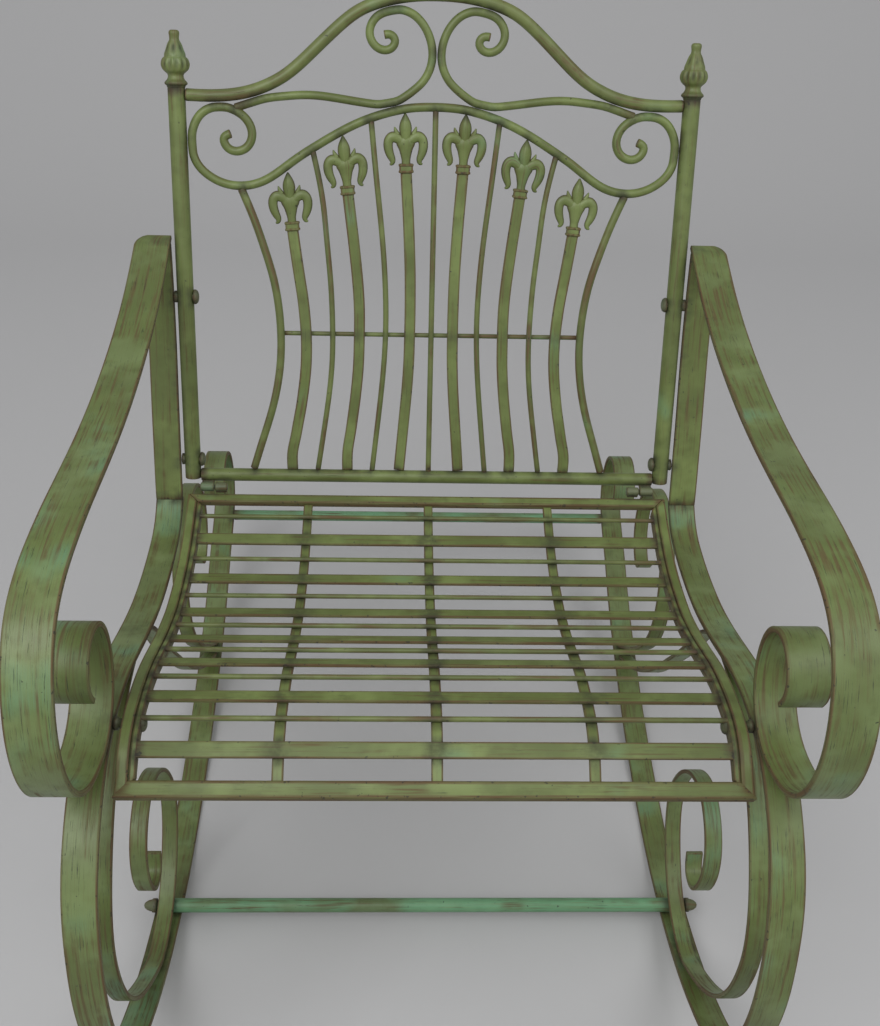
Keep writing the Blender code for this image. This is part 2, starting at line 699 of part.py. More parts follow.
def add_arm(chair, side, sign):
    """Arm bar with the chamfered corner at its rear outer end."""
    points = outline(chair.arm, ARM_THICKNESS, BAR_SAGITTA)
    arm = solid_mesh(lay_in_side(plate(f"{side}_arm", points, ARM_WIDTH), sign * ARM_X))
    chair.place(arm, MINT_PAINT)
    corner = Vector((sign * (SIDE_INNER + ARM_WIDTH), *chair.arm[0]))
    size = ARM_CORNER_CHAMFER * math.sqrt(2)
    mesh = bpy.data.meshes.new(f"{side}_arm_corner")
    body = bmesh.new()
    bmesh.ops.create_cube(body, size=size)
    body.to_mesh(mesh)
    body.free()
    cutter = bpy.data.objects.new(mesh.name, mesh)
    cutter.location = corner
    cutter.rotation_euler = (0.0, 0.0, math.pi / 4)
    combine(arm, cutter, "DIFFERENCE", chair)


def add_back_frame(chair):
    """Posts, finials, rails, arches and scrolls of the back."""
    bottom_end = POST_X - POST_DIAMETER / 2 - GAP
    for side, sign in SIDES:
        post = solid_mesh(lay_in_back(tube(
            f"{side}_back_post", ((sign * POST_X, POST_BOTTOM), (sign * POST_X, POST_TOP)),
            POST_DIAMETER, 4)))
        chair.place(post, OLIVE_PAINT)
        finial = turned(f"{side}_finial", FINIAL_PROFILE, FINIAL_STEPS)
        finial.location = back_point(sign * POST_X, POST_TOP)
        finial.rotation_euler = (-BACK_LEAN, 0.0, 0.0)
        chair.place(finial, OLIVE_PAINT)
        scroll = thin(chair.top_scroll, TUBE_SAGITTA) * (sign, 1)
        chair.place(lay_in_back(tube(f"{side}_top_scroll", scroll, TOP_SCROLL_DIAMETER)), OLIVE_PAINT)
        for number, height in enumerate(POST_BOLT_HEIGHTS, 1):
            add_bolt(chair, f"{side}_post_bolt_{number}", sign, back_point(0.0, height), POST_BOLT_HEAD,
                     POST_X - POST_DIAMETER / 2, POST_X + POST_DIAMETER / 2, post)
    chair.place(lay_in_back(tube("top_arch_rail", thin(chair.top_rail, TUBE_SAGITTA),
                                 TOP_RAIL_DIAMETER, 3)), MINT_PAINT)
    chair.place(lay_in_back(tube("lower_arch", thin(chair.lower_arch, TUBE_SAGITTA),
                                 LOWER_ARCH_DIAMETER)), OLIVE_PAINT)
    ends = ((-bottom_end, BOTTOM_RAIL_H), (bottom_end, BOTTOM_RAIL_H))
    chair.place(lay_in_back(tube("back_bottom_rail", ends, BOTTOM_RAIL_DIAMETER, 3)), OLIVE_PAINT)


def stand_on_bottom_rail(chair, path, half_width):
    """Cut the lower end of a back rod or bar on top of the bottom rail."""
    room = BOTTOM_RAIL_DIAMETER / 2 + GAP
    return stop_short(path[::-1], half_width, chair.bottom_rail, room)[::-1]


def add_back_rods(chair):
    """Round rods of the back, and the cross rod behind them."""
    arch_room = LOWER_ARCH_DIAMETER / 2 + GAP
    half = [("outer_rod", OUTER_ROD_KEYS, OUTER_ROD_DIAMETER)]
    half += [(f"rod_{number}", keys, THIN_ROD_DIAMETER)
             for number, keys in enumerate(THIN_ROD_KEYS, 1)]
    for name, keys, diameter in half:
        path = stop_short(through(keys), diameter / 2, chair.lower_arch, arch_room)
        path = thin(stand_on_bottom_rail(chair, path, diameter / 2), TUBE_SAGITTA)
        for side, sign in SIDES:
            chair.place(lay_in_back(tube(f"{side}_{name}", path * (sign, 1), diameter)), WORN_PAINT)
    apex = LOWER_ARCH_KEYS[0][1]
    middle = stop_short(chair.straight((0.0, apex), (0.0, BOTTOM_RAIL_H)),
                        THIN_ROD_DIAMETER / 2, chair.lower_arch, arch_room)
    middle = stand_on_bottom_rail(chair, middle, THIN_ROD_DIAMETER / 2)[[0, -1]]
    chair.place(lay_in_back(tube("middle_rod", middle, THIN_ROD_DIAMETER)), WORN_PAINT)
    outer = through(OUTER_ROD_KEYS)
    reach = np.interp(CROSS_ROD_H, outer[::-1, 1], outer[::-1, 0])
    behind = (THIN_ROD_DIAMETER + CROSS_ROD_DIAMETER) / 2 + GAP
    bite = behind - CROSS_ROD_DIAMETER / 2
    clear = math.sqrt(max(0.0, (OUTER_ROD_DIAMETER / 2) ** 2 - bite ** 2)) + GAP
    ends = ((clear - reach, CROSS_ROD_H), (reach - clear, CROSS_ROD_H))
    cross = lay_in_back(tube("cross_rod", ends, CROSS_ROD_DIAMETER), -behind)
    chair.place(cross, WORN_PAINT)


def add_back_bars(chair):
    """Flat bars of the back, each with the fleur-de-lis cast on its top."""
    arch_room = LOWER_ARCH_DIAMETER / 2 + GAP
    for number, keys in enumerate(BACK_BAR_KEYS, 1):
        path = stop_short(through(keys), FLEUR_TIP_WIDTH / 2, chair.lower_arch, arch_room)
        path = stand_on_bottom_rail(chair, path, BACK_BAR_WIDTH / 2)
        tip = path[0]
        length = lengths(path)[-1]
        bar = part_of(path, FLEUR_HEIGHT - FLEUR_SOCKET, length)
        foot = part_of(path, FLEUR_HEIGHT, length)[0]
        up = (tip - foot) / np.linalg.norm(tip - foot)
        across = np.array((up[1], -up[0]))
        half = np.array(FLEUR_HALF)
        whole = np.vstack((half, half[::-1] * (-1, 1)))
        whole[:, 1] *= np.linalg.norm(tip - foot) / FLEUR_HEIGHT
        fleur = foot + whole[:, :1] * across + whole[:, 1:] * up
        for side, sign in SIDES:
            name = f"{side}_back_bar_{number}"
            points = outline(bar, BACK_BAR_WIDTH, TUBE_SAGITTA) * (sign, 1)
            item = solid_mesh(lay_in_back(plate(name, points, BACK_BAR_THICKNESS)))
            chair.place(item, OLIVE_PAINT)
            head = plate(f"{side}_fleur_{number}", fleur * (sign, 1), FLEUR_THICKNESS)
            combine(item, solid_mesh(lay_in_back(head)), "UNION", chair)


def add_bolt(chair, name, sign, centre, head_diameter, inner, outer, carrier):
    """Dome-headed bolt through a carrier into a bush on the side frame."""
    head = head_diameter / 2
    shank = BOLT_SHANK_DIAMETER / 2
    bush = BUSH_DIAMETER / 2
    profile = (
        (0.0, SIDE_INNER - GAP), (bush, SIDE_INNER - GAP), (bush, outer + GAP),
        (shank, outer + GAP), (shank, inner - GAP), (head, inner - GAP),
        (head, inner - 0.35 * BOLT_HEAD_HEIGHT), (0.75 * head, inner - 0.8 * BOLT_HEAD_HEIGHT),
        (0.0, inner - BOLT_HEAD_HEIGHT),
    )
    bolt = turned(name, profile, BOLT_STEPS)
    bolt.location = (0.0, centre.y, centre.z)
    bolt.rotation_euler = (0.0, sign * math.pi / 2, 0.0)
    chair.place(bolt, RUSTY_STEEL)
    margin = BOLT_HEAD_HEIGHT
    hole = round_cutter(
        name + "_hole",
        Vector((sign * (inner - margin), centre.y, centre.z)),
        Vector((sign * (outer + margin), centre.y, centre.z)),
        BOLT_SHANK_DIAMETER + 2 * BOLT_HOLE_CLEARANCE,
    )
    combine(carrier, hole, "DIFFERENCE", chair)


def add_seat(chair):
    """Welded seat frame with its straps, then its slats, rods and bolts."""
    top = chair.seat_top
    length = lengths(top)[-1]
    rail_x = (SEAT_WIDTH - SEAT_RAIL_WIDTH) / 2
    rail_path = offset(top, -SEAT_RAIL_DEPTH / 2)
    rail = outline(rail_path, SEAT_RAIL_DEPTH, BAR_SAGITTA)
    frame = solid_mesh(lay_in_side(plate("seat_frame", rail, SEAT_RAIL_WIDTH), rail_x))
    chair.place(frame, OLIVE_PAINT)
    other = solid_mesh(lay_in_side(plate("left_seat_rail", rail, SEAT_RAIL_WIDTH), -rail_x))
    combine(frame, other, "UNION", chair)
    inset = 0.0002
    rail_length = lengths(rail_path)[-1]
    for name, start, end in (("front_seat_rail", inset, SEAT_RAIL_WIDTH),
                             ("rear_seat_rail", rail_length - SEAT_RAIL_WIDTH, rail_length - inset)):
        points = outline(part_of(rail_path, start, end), SEAT_RAIL_DEPTH - 2 * inset, BAR_SAGITTA)
        combine(frame, solid_mesh(lay_in_side(plate(name, points, 2 * rail_x), 0.0)), "UNION", chair)
    slat_level = -(SEAT_SLAT_DROP + SEAT_SLAT_THICKNESS / 2)
    strap_top = -(SEAT_SLAT_DROP + SEAT_SLAT_THICKNESS + GAP)
    strap_path = offset(part_of(top, SEAT_RAIL_WIDTH / 2, length - SEAT_RAIL_WIDTH / 2),
                        strap_top - STRAP_THICKNESS / 2)
    strap = outline(strap_path, STRAP_THICKNESS, BAR_SAGITTA)
    for number in (-1, 0, 1):
        item = plate(f"strap_{number + 2}", strap, STRAP_WIDTH)
        combine(frame, solid_mesh(lay_in_side(item, number * STRAP_SPACING)), "UNION", chair)
    reach = SEAT_WIDTH / 2 - SEAT_RAIL_WIDTH - GAP
    along = lengths(top)
    side_way = tangents(top)
    for number in range(1, SEAT_MEMBERS + 1):
        index = int(np.abs(along - number * length / (SEAT_MEMBERS + 1)).argmin())
        way = side_way[index]
        up = np.array((-way[1], way[0]))
        if number % 2:
            add_slat(chair, f"seat_slat_{(number + 1) // 2}", top[index] + up * slat_level, way, reach)
        else:
            centre = top[index] + up * (strap_top + GAP + SEAT_ROD_DIAMETER / 2)
            rod = tube(f"seat_rod_{number // 2}", ((-reach, 0.0), (reach, 0.0)), SEAT_ROD_DIAMETER)
            rod.location = (0.0, *centre)
            chair.place(rod, WORN_PAINT)
    bolt_line = offset(top, -SEAT_BOLT_DROP)
    bolt_centre = bolt_line[int(np.abs(bolt_line[:, 0] - SEAT_BOLT_Y).argmin())]
    for side, sign in SIDES:
        add_bolt(chair, f"{side}_seat_bolt", sign, Vector((0.0, *bolt_centre)), SEAT_BOLT_HEAD,
                 SEAT_WIDTH / 2 - SEAT_RAIL_WIDTH, SEAT_WIDTH / 2, frame)


def add_slat(chair, name, centre, way, reach):
    """Flat seat slat across the chair, tilted with the curve of the rails."""
    mesh = bpy.data.meshes.new(name)
    body = bmesh.new()
    bmesh.ops.create_cube(body, size=1.0)
    bmesh.ops.scale(body, verts=body.verts, vec=(2 * reach, SEAT_SLAT_WIDTH, SEAT_SLAT_THICKNESS))
    body.to_mesh(mesh)
    body.free()
    slat = bpy.data.objects.new(name, mesh)
    slat.location = (0.0, *centre)
    slat.rotation_euler = (math.atan2(way[1], way[0]), 0.0, 0.0)
    chair.place(slat, OLIVE_PAINT)
    edge = slat.modifiers.new("worn_edge", "BEVEL")
    edge.width = 0.0006
    edge.segments = 1


def add_hinges(chair):
    """Two hinges that carry the back's bottom rail on the seat's rear rail."""
    rail = back_point(0.0, BOTTOM_RAIL_H)
    rail_centre = np.array((rail.y, rail.z))
    top = chair.seat_top
    lift = HINGE_THICKNESS / 2 + GAP
    length = lengths(top)[-1]
    leaf = offset(part_of(top, length - SEAT_RAIL_WIDTH, length - SEAT_RAIL_WIDTH / 3), lift)
    reach = rail_centre - leaf[-1]
    span = np.linalg.norm(reach) - BOTTOM_RAIL_DIAMETER / 2 - GAP
    web_end = leaf[-1] + reach / np.linalg.norm(reach) * span
    pin = leaf[-1] + (web_end - leaf[-1]) * 0.5
    keys = (leaf[0], leaf[-1], web_end)
    for side, sign in SIDES:
        points = outline(np.array(keys), HINGE_THICKNESS, BAR_SAGITTA)
        item = solid_mesh(lay_in_side(plate(f"{side}_hinge", points, HINGE_WIDTH), sign * HINGE_X))
        chair.place(item, RUSTY_STEEL)
        half = HINGE_WIDTH / 2 + 0.001
        knuckle = round_cutter(
            f"{side}_hinge_knuckle",
            Vector((sign * HINGE_X - half, *pin)), Vector((sign * HINGE_X + half, *pin)),
            HINGE_KNUCKLE_DIAMETER,
        )
        combine(item, knuckle, "UNION", chair)


def add_stretchers(chair):
    """Front stretcher with its domed end caps, and the plain rear stretcher."""
    outer = SIDE_INNER + BAR_WIDTH - STRETCHER_INSET
    radius = FRONT_STRETCHER_DIAMETER / 2
    cap = FRONT_STRETCHER_CAP
    half = ((0.0, outer + cap), (0.55 * radius, outer + 0.92 * cap), (0.9 * radius, outer + 0.6 * cap),
            (radius, outer + 0.2 * cap), (radius, outer))
    profile = half + tuple((r, -x) for r, x in half[::-1])
    front = turned("front_stretcher", profile, STRETCHER_STEPS)
    front.location = (0.0, *chair.front_tube)
    front.rotation_euler = (0.0, math.pi / 2, 0.0)
    chair.place(front, MINT_PAINT)
    rear = tube("rear_stretcher", ((-outer, 0.0), (outer, 0.0)), REAR_STRETCHER_DIAMETER, 3)
    rear.location = (0.0, *chair.rear_tube)
    chair.place(rear, OLIVE_PAINT)


def main():
    """Build the whole chair."""
    clear_scene()
    chair = Chair()
    add_side_frames(chair)
    add_back_frame(chair)
    add_back_rods(chair)
    add_back_bars(chair)
    add_seat(chair)
    add_hinges(chair)
    add_stretchers(chair)


if __name__ == "__main__":
    main()
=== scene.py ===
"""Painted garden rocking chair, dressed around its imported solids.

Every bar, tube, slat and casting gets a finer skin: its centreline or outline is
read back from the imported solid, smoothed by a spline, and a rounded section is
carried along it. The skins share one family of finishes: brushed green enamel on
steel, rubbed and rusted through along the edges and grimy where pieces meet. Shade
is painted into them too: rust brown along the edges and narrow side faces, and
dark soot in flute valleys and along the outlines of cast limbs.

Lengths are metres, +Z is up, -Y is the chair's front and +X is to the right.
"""

from __future__ import annotations

import json
import logging
import math
from dataclasses import dataclass, field
from enum import Enum

import bpy
import numpy as np
from mathutils import Matrix, Vector

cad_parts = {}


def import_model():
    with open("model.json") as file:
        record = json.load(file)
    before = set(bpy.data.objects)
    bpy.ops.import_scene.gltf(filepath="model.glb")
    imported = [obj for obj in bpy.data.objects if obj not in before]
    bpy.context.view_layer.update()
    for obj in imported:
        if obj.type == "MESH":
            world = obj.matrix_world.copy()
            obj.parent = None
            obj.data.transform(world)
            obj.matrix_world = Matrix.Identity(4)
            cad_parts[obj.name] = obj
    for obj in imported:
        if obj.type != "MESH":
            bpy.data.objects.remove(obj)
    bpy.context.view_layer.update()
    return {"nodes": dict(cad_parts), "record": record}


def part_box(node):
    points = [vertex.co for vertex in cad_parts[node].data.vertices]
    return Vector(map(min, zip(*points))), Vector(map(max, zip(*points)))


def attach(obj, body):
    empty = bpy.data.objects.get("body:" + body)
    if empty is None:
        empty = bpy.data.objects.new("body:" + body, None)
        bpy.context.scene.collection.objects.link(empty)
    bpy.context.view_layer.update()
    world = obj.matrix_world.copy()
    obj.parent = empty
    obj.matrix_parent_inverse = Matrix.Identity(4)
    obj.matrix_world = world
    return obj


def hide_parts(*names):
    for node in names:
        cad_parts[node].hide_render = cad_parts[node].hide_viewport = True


LOG = logging.getLogger("garden_rocking_chair")
Socket = bpy.types.NodeSocket
Keys = tuple[tuple[float, ...], ...]

X_AXIS = np.array((1.0, 0.0, 0.0))
Z_AXIS = np.array((0.0, 0.0, 1.0))
SIDES = (("left", -1.0), ("right", 1.0))

# Reading the solids: points within a merge step are one point, faces within a
# tolerance lie in one plane, and normals with this cosine look the same way.
MERGE_STEP = 1e-6
FACE_TOLERANCE = 2e-5
SAME_LEVEL = 1e-5
SAME_WAY = 0.999999

# Drawing the skins: radius left at the axis of a turned piece, sample step and
# least half width of a cast limb, width of the band along a flat bar's broad faces
# that takes rubbed wear and painted edge shade, edge wear of a round bar, and
# cosine below which a corner counts as straight.
PINHOLE = 0.0002
LOBE_STEP = 0.0007
LOBE_TIP = 0.0002
EDGE_WEAR_AND_SHADE_WIDTH = 0.0025
ROUND_BAR_EDGE = 0.25
NEARLY_STRAIGHT = -0.94

# Shift between the two patterns of patches in the enamel.
CLOUD_SHIFT = (3.1, 1.7, 5.3)


class Slot(Enum):
    """Material slots that the record names."""

    FRAME = "frame_paint"
    ARM = "arm_paint"
    PALE = "pale_green_paint"
    ROD = "worn_rod_paint"
    STEEL = "fastener_steel"


def linear(code: str) -> tuple[float, float, float, float]:
    """Turn an sRGB hex colour into linear RGBA.

    Args:
        code: Colour as "#RRGGBB".

    Returns:
        Linear red, green, blue and an alpha of one.
    """
    parts = [int(code[i:i + 2], 16) / 255 for i in (1, 3, 5)]
    red, green, blue = (p / 12.92 if p <= 0.04045 else ((p + 0.055) / 1.055) ** 2.4 for p in parts)
    return red, green, blue, 1.0


def add_node(tree: bpy.types.NodeTree, kind: str, settings: dict[str, object],
             inputs: dict[str | int, object]) -> bpy.types.Node:
    """Add a shader node with its settings and inputs.

    Args:
        tree: Node tree that gets the node.
        kind: Blender's type name of the node.
        settings: Properties to set on the node.
        inputs: Values for its sockets, or the sockets to link them from.

    Returns:
        The new node.
    """
    node = tree.nodes.new(kind)
    for key, value in settings.items():
        setattr(node, key, value)
    for key, value in inputs.items():
        if isinstance(value, bpy.types.NodeSocket):
            tree.links.new(value, node.inputs[key])
        else:
            node.inputs[key].default_value = value
    return node


@dataclass(frozen=True)
class WornEnamel:
    """Brushed green enamel on steel, thin and rubbed through at the edges.

    Enamel brushed by hand dries satin, with lengthwise brush marks and a cooler,
    paler green where the coat is thick. Rust bleeds brown through the thin places,
    and old soot stays dark in scratches and joints. Shade is painted in as well:
    the rust brown also darkens every arris and the whole of each narrow side face,
    and the soot also darkens flute valleys and the outlines of cast limbs.
    """

    name: str
    coat: str = "#5F6C37"
    thick: str = "#75844B"
    deep: str = "#4C562B"
    mint: str = "#628A66"
    rust_and_shade: str = "#564327"
    soot_and_shade: str = "#22211A"
    mint_share: float = 0.12
    rust_share: float = 0.50
    scratch_share: float = 0.70
    roughness: float = 0.44
    patch_mm: float = 85.0
    streak_mm: tuple[float, float] = (90.0, 3.4)
    scratch_mm: tuple[float, float] = (34.0, 0.9)
    brush_mm: tuple[float, float] = (60.0, 0.8)
    chip_mm: float = 4.5
    worn_roughness: float = 0.78
    relief_depth: float = 0.0004

    def material(self) -> bpy.types.Material:
        """Build the enamel as a node material.

        The base green is mixed in turn with the thick coat, mint patches, brown
        streaks, rubbed edges that also carry painted edge shade, dark scratches, and
        joint grime that also carries painted shade in hollows. Patterns in patches
        read Object coordinates and patterns along a bar read its UV map, which is
        in metres, so each scale is one over a size in metres.

        Returns:
            The material.
        """
        material = bpy.data.materials.new(self.name)
        material.use_nodes = True
        tree = material.node_tree
        shader = tree.nodes["Principled BSDF"]
        place = add_node(tree, "ShaderNodeTexCoord", {}, {}).outputs["Object"]
        along = add_node(tree, "ShaderNodeUVMap", {"uv_map": "along_bar"}, {}).outputs["UV"]
        # The edge attribute marks arrises and flat bars' narrow side faces, for rubbed wear and
        # painted edge shade.
        edge = add_node(tree, "ShaderNodeAttribute", {"attribute_name": "edge"}, {}).outputs["Fac"]
        # The joint attribute holds joint grime together with painted shade in hollows.
        joint_grime_and_hollow_shade = add_node(tree, "ShaderNodeAttribute", {"attribute_name": "joint_grime_and_hollow_shade"}, {}).outputs["Fac"]

        def stretched(size_mm: tuple[float, float]) -> Socket:
            """UV coordinates scaled so that one unit is a given length and width."""
            scale = (1000 / size_mm[0], 1000 / size_mm[1], 1.0)
            node = add_node(tree, "ShaderNodeMapping", {}, {"Vector": along, "Scale": scale})
            return node.outputs[0]

        def grain(vector: Socket, scale: float, detail: float) -> Socket:
            """Fractal noise between about 0.25 and 0.75."""
            return add_node(tree, "ShaderNodeTexNoise", {},
                            {"Vector": vector, "Scale": scale, "Detail": detail,
                             "Roughness": 0.6}).outputs["Fac"]

        def above(value: Socket, low: float, high: float) -> Socket:
            """Smooth step from 0 at low to 1 at high."""
            return add_node(tree, "ShaderNodeMapRange", {"interpolation_type": "SMOOTHSTEP"},
                            {"Value": value, "From Min": low, "From Max": high}).outputs[0]

        def math_of(kind: str, one: object, two: object) -> Socket:
            """Arithmetic on two sockets or numbers."""
            return add_node(tree, "ShaderNodeMath", {"operation": kind}, {0: one, 1: two}).outputs[0]

        def times(*values: object) -> Socket:
            """Product of sockets and numbers."""
            product = values[0]
            for value in values[1:]:
                product = math_of("MULTIPLY", product, value)
            return product

        def over(under: object, top: object, share: Socket) -> Socket:
            """One colour laid over another by a share."""
            return add_node(tree, "ShaderNodeMix", {"data_type": "RGBA"},
                            {0: share, 6: under, 7: top}).outputs[2]

        patch_scale = 1000 / self.patch_mm
        moved = add_node(tree, "ShaderNodeMapping", {}, {"Vector": place, "Location": CLOUD_SHIFT})
        patches = grain(place, patch_scale, 2.0)
        clouds = grain(moved.outputs[0], patch_scale * 1.6, 3.0)
        mottle = grain(place, patch_scale * 6.0, 5.0)
        streaks = grain(stretched(self.streak_mm), 1.0, 4.0)
        scratches = grain(stretched(self.scratch_mm), 1.0, 3.0)
        brush = grain(stretched(self.brush_mm), 1.0, 3.0)
        chips = grain(place, 1000 / self.chip_mm, 2.0)

        mint_at = 0.70 - 0.40 * self.mint_share
        rust_at = 0.74 - 0.30 * self.rust_share
        scratch_at = 0.78 - 0.20 * self.scratch_share
        mint = times(above(patches, mint_at - 0.05, mint_at + 0.12), above(brush, 0.30, 0.56))
        streak = times(above(streaks, rust_at - 0.08, rust_at + 0.08), above(clouds, 0.62, 0.42), 0.75)
        broken = math_of("ADD", times(above(streaks, 0.40, 0.60), 0.5), 0.48)
        # Rubbed edges: rust brown on arrises and over each flat bar's whole narrow side faces, partly
        # wear and partly painted shade.
        rubbed_and_shaded = times(above(edge, 0.20, 1.0), broken)
        scratch = times(above(scratches, scratch_at, scratch_at + 0.06), above(mottle, 0.38, 0.56))
        chip = above(math_of("ADD", chips, times(edge, 0.10)), 0.735, 0.765)
        # Soot share: joint grime, plus painted shade in flute valleys and along cast limbs' outlines.
        grime_and_shade = times(joint_grime_and_hollow_shade, above(mottle, 0.22, 0.60))
        colour = linear(self.coat)
        for layer, share in (
                (self.thick, times(above(clouds, 0.40, 0.66), 0.8)),
                (self.deep, times(above(patches, 0.60, 0.34), 0.45)),
                (self.deep, times(above(mottle, 0.48, 0.74), 0.40)),
                (self.mint, times(mint, 0.75)),
                (self.rust_and_shade, times(above(brush, 0.50, 0.74), 0.34)),
                (self.rust_and_shade, streak),
                # Rust brown over the rubbed edges, partly painted edge shade.
                (self.rust_and_shade, rubbed_and_shaded),
                (self.soot_and_shade, times(scratch, 0.8)),
                (self.soot_and_shade, times(chip, 0.75)),
                # Soot over joint grime and over the painted shade in hollows.
                (self.soot_and_shade, times(grime_and_shade, 0.78))):
            colour = over(colour, linear(layer), share)
        tree.links.new(colour, shader.inputs["Base Color"])

        worn = math_of("MAXIMUM", math_of("MAXIMUM", streak, rubbed_and_shaded), grime_and_shade)
        rough = add_node(tree, "ShaderNodeMapRange", {},
                         {"Value": worn, "To Min": self.roughness, "To Max": self.worn_roughness})
        tree.links.new(rough.outputs[0], shader.inputs["Roughness"])
        relief = math_of("SUBTRACT", times(brush, 0.5), chip)
        relief = math_of("SUBTRACT", relief, times(scratch, 0.7))
        bump = add_node(tree, "ShaderNodeBump", {},
                        {"Height": relief, "Strength": 0.45, "Distance": self.relief_depth})
        tree.links.new(bump.outputs[0], shader.inputs["Normal"])
        shader.inputs["IOR"].default_value = 1.5
        return material


FINISHES = {
    Slot.FRAME: WornEnamel("brushed_olive_enamel"),
    Slot.ARM: WornEnamel("brushed_pale_enamel", coat="#5F6E3A", thick="#718152", mint="#5F8766",
                         mint_share=0.30, rust_share=0.62, scratch_share=0.90),
    Slot.PALE: WornEnamel("fresh_mint_enamel", coat="#647B54", thick="#76936B", mint="#64A079",
                          mint_share=0.75, rust_share=0.55, scratch_share=0.8),
    Slot.ROD: WornEnamel("thin_olive_enamel", coat="#5A6535", thick="#707C45",
                         rust_and_shade="#5C402A", mint_share=0.05, rust_share=0.72, scratch_share=0.6),
    Slot.STEEL: WornEnamel("enamelled_steel_fastener", coat="#565C42", thick="#666D52",
                           mint_share=0.30, rust_share=0.65, scratch_share=0.5, roughness=0.50),
}


def unit(rows: np.ndarray) -> np.ndarray:
    """Rows scaled to a length of one."""
    return rows / np.linalg.norm(rows, axis=-1, keepdims=True)


def lengths(points: np.ndarray) -> np.ndarray:
    """Length of a line of points from its start up to each of them."""
    return np.concatenate(([0.0], np.cumsum(np.linalg.norm(np.diff(points, axis=0), axis=1))))


def circle(steps: int) -> np.ndarray:
    """Cosine and sine of even angles round a full turn, one row each."""
    turn = np.linspace(0.0, 2 * math.pi, steps, endpoint=False)
    return np.stack((np.cos(turn), np.sin(turn)), axis=1)


def sides_of(triangles: np.ndarray) -> np.ndarray:
    """Directed sides of all triangles, as pairs of point numbers."""
    return np.vstack([np.roll(triangles, -k, axis=1) for k in range(3)])[:, :2]


@dataclass(frozen=True)
class Section:
    """Closed cross section of a bar.

    shape holds (across, through) offsets, around the distance round the section
    with its closing value, and edge how near each point is to an arris.
    """

    shape: np.ndarray
    around: np.ndarray
    edge: np.ndarray

    @staticmethod
    def closed(shape: np.ndarray, edge: np.ndarray) -> Section:
        """Section of a closed outline, with the distance round it worked out."""
        return Section(shape, lengths(np.vstack((shape, shape[:1]))), edge)

    def turned(self) -> Section:
        """The section with its width and thickness exchanged."""
        return Section.closed(self.shape[::-1, ::-1], self.edge[::-1])

    @staticmethod
    def round(diameter: float, steps: int = 20) -> Section:
        """Circle of a diameter: points at even angles."""
        return Section.closed(circle(steps) * diameter / 2, np.full(steps, ROUND_BAR_EDGE))

    @staticmethod
    def flat(width: float, thickness: float, radius: float = 0.0009) -> Section:
        """Rounded rectangle: quarter circles at its corners, joined by straight runs.

        Each long side has a point a little in from its corners, where the rubbed
        edge and its painted shade end, and two between them. The short sides have no
        such points, so each short side counts as edge all over and is painted in shade.

        Args:
            width: Size across.
            thickness: Size through.
            radius: Radius of the corners.

        Returns:
            The section.
        """
        turn = np.linspace(0.0, math.pi / 2, 4)
        corner = np.stack((np.cos(turn), np.sin(turn)), axis=1) * radius
        half = np.array((width / 2 - radius, thickness / 2 - radius))
        inner = width / 2 - min(EDGE_WEAR_AND_SHADE_WIDTH, width / 4)
        side = np.stack((np.linspace(inner, -inner, 4), np.full(4, thickness / 2)), axis=1)
        shape, edge = [], []
        for quarter, signs in enumerate(((1, 1), (-1, 1), (-1, -1), (1, -1))):
            cos, sin = math.cos(quarter * math.pi / 2), math.sin(quarter * math.pi / 2)
            shape.append(corner @ np.array(((cos, sin), (-sin, cos))) + half * signs)
            edge.append(np.ones(4))
            if quarter in (0, 2):
                shape.append(side * signs[1])
                edge.append(np.zeros(4))
        return Section.closed(np.vstack(shape), np.concatenate(edge))


def softened(outline: np.ndarray, radius: float) -> Section:
    """Section whose sharp corners are rounded.

    Each corner sharper than about 20 degrees becomes a parabola that starts and
    ends at the radius from it.

    Args:
        outline: Corner points of the section, in order.
        radius: Distance from a corner at which its rounding starts.

    Returns:
        The section, whose rounded corners count as edges.
    """
    shape, edge = [], []
    share = np.linspace(0.0, 1.0, 5)[:, None]
    befores, afters = np.roll(outline, 1, axis=0), np.roll(outline, -1, axis=0)
    for before, corner, after in zip(befores, outline, afters):
        back, ahead = before - corner, after - corner
        if unit(back) @ unit(ahead) < NEARLY_STRAIGHT:
            shape.append(corner[None, :])
            edge.append(np.zeros(1))
            continue
        start = corner + back * min(radius / np.linalg.norm(back), 0.45)
        end = corner + ahead * min(radius / np.linalg.norm(ahead), 0.45)
        shape.append(start * (1 - share) ** 2 + 2 * corner * share * (1 - share) + end * share ** 2)
        edge.append(np.ones(len(share)))
    return Section.closed(np.vstack(shape), np.concatenate(edge))


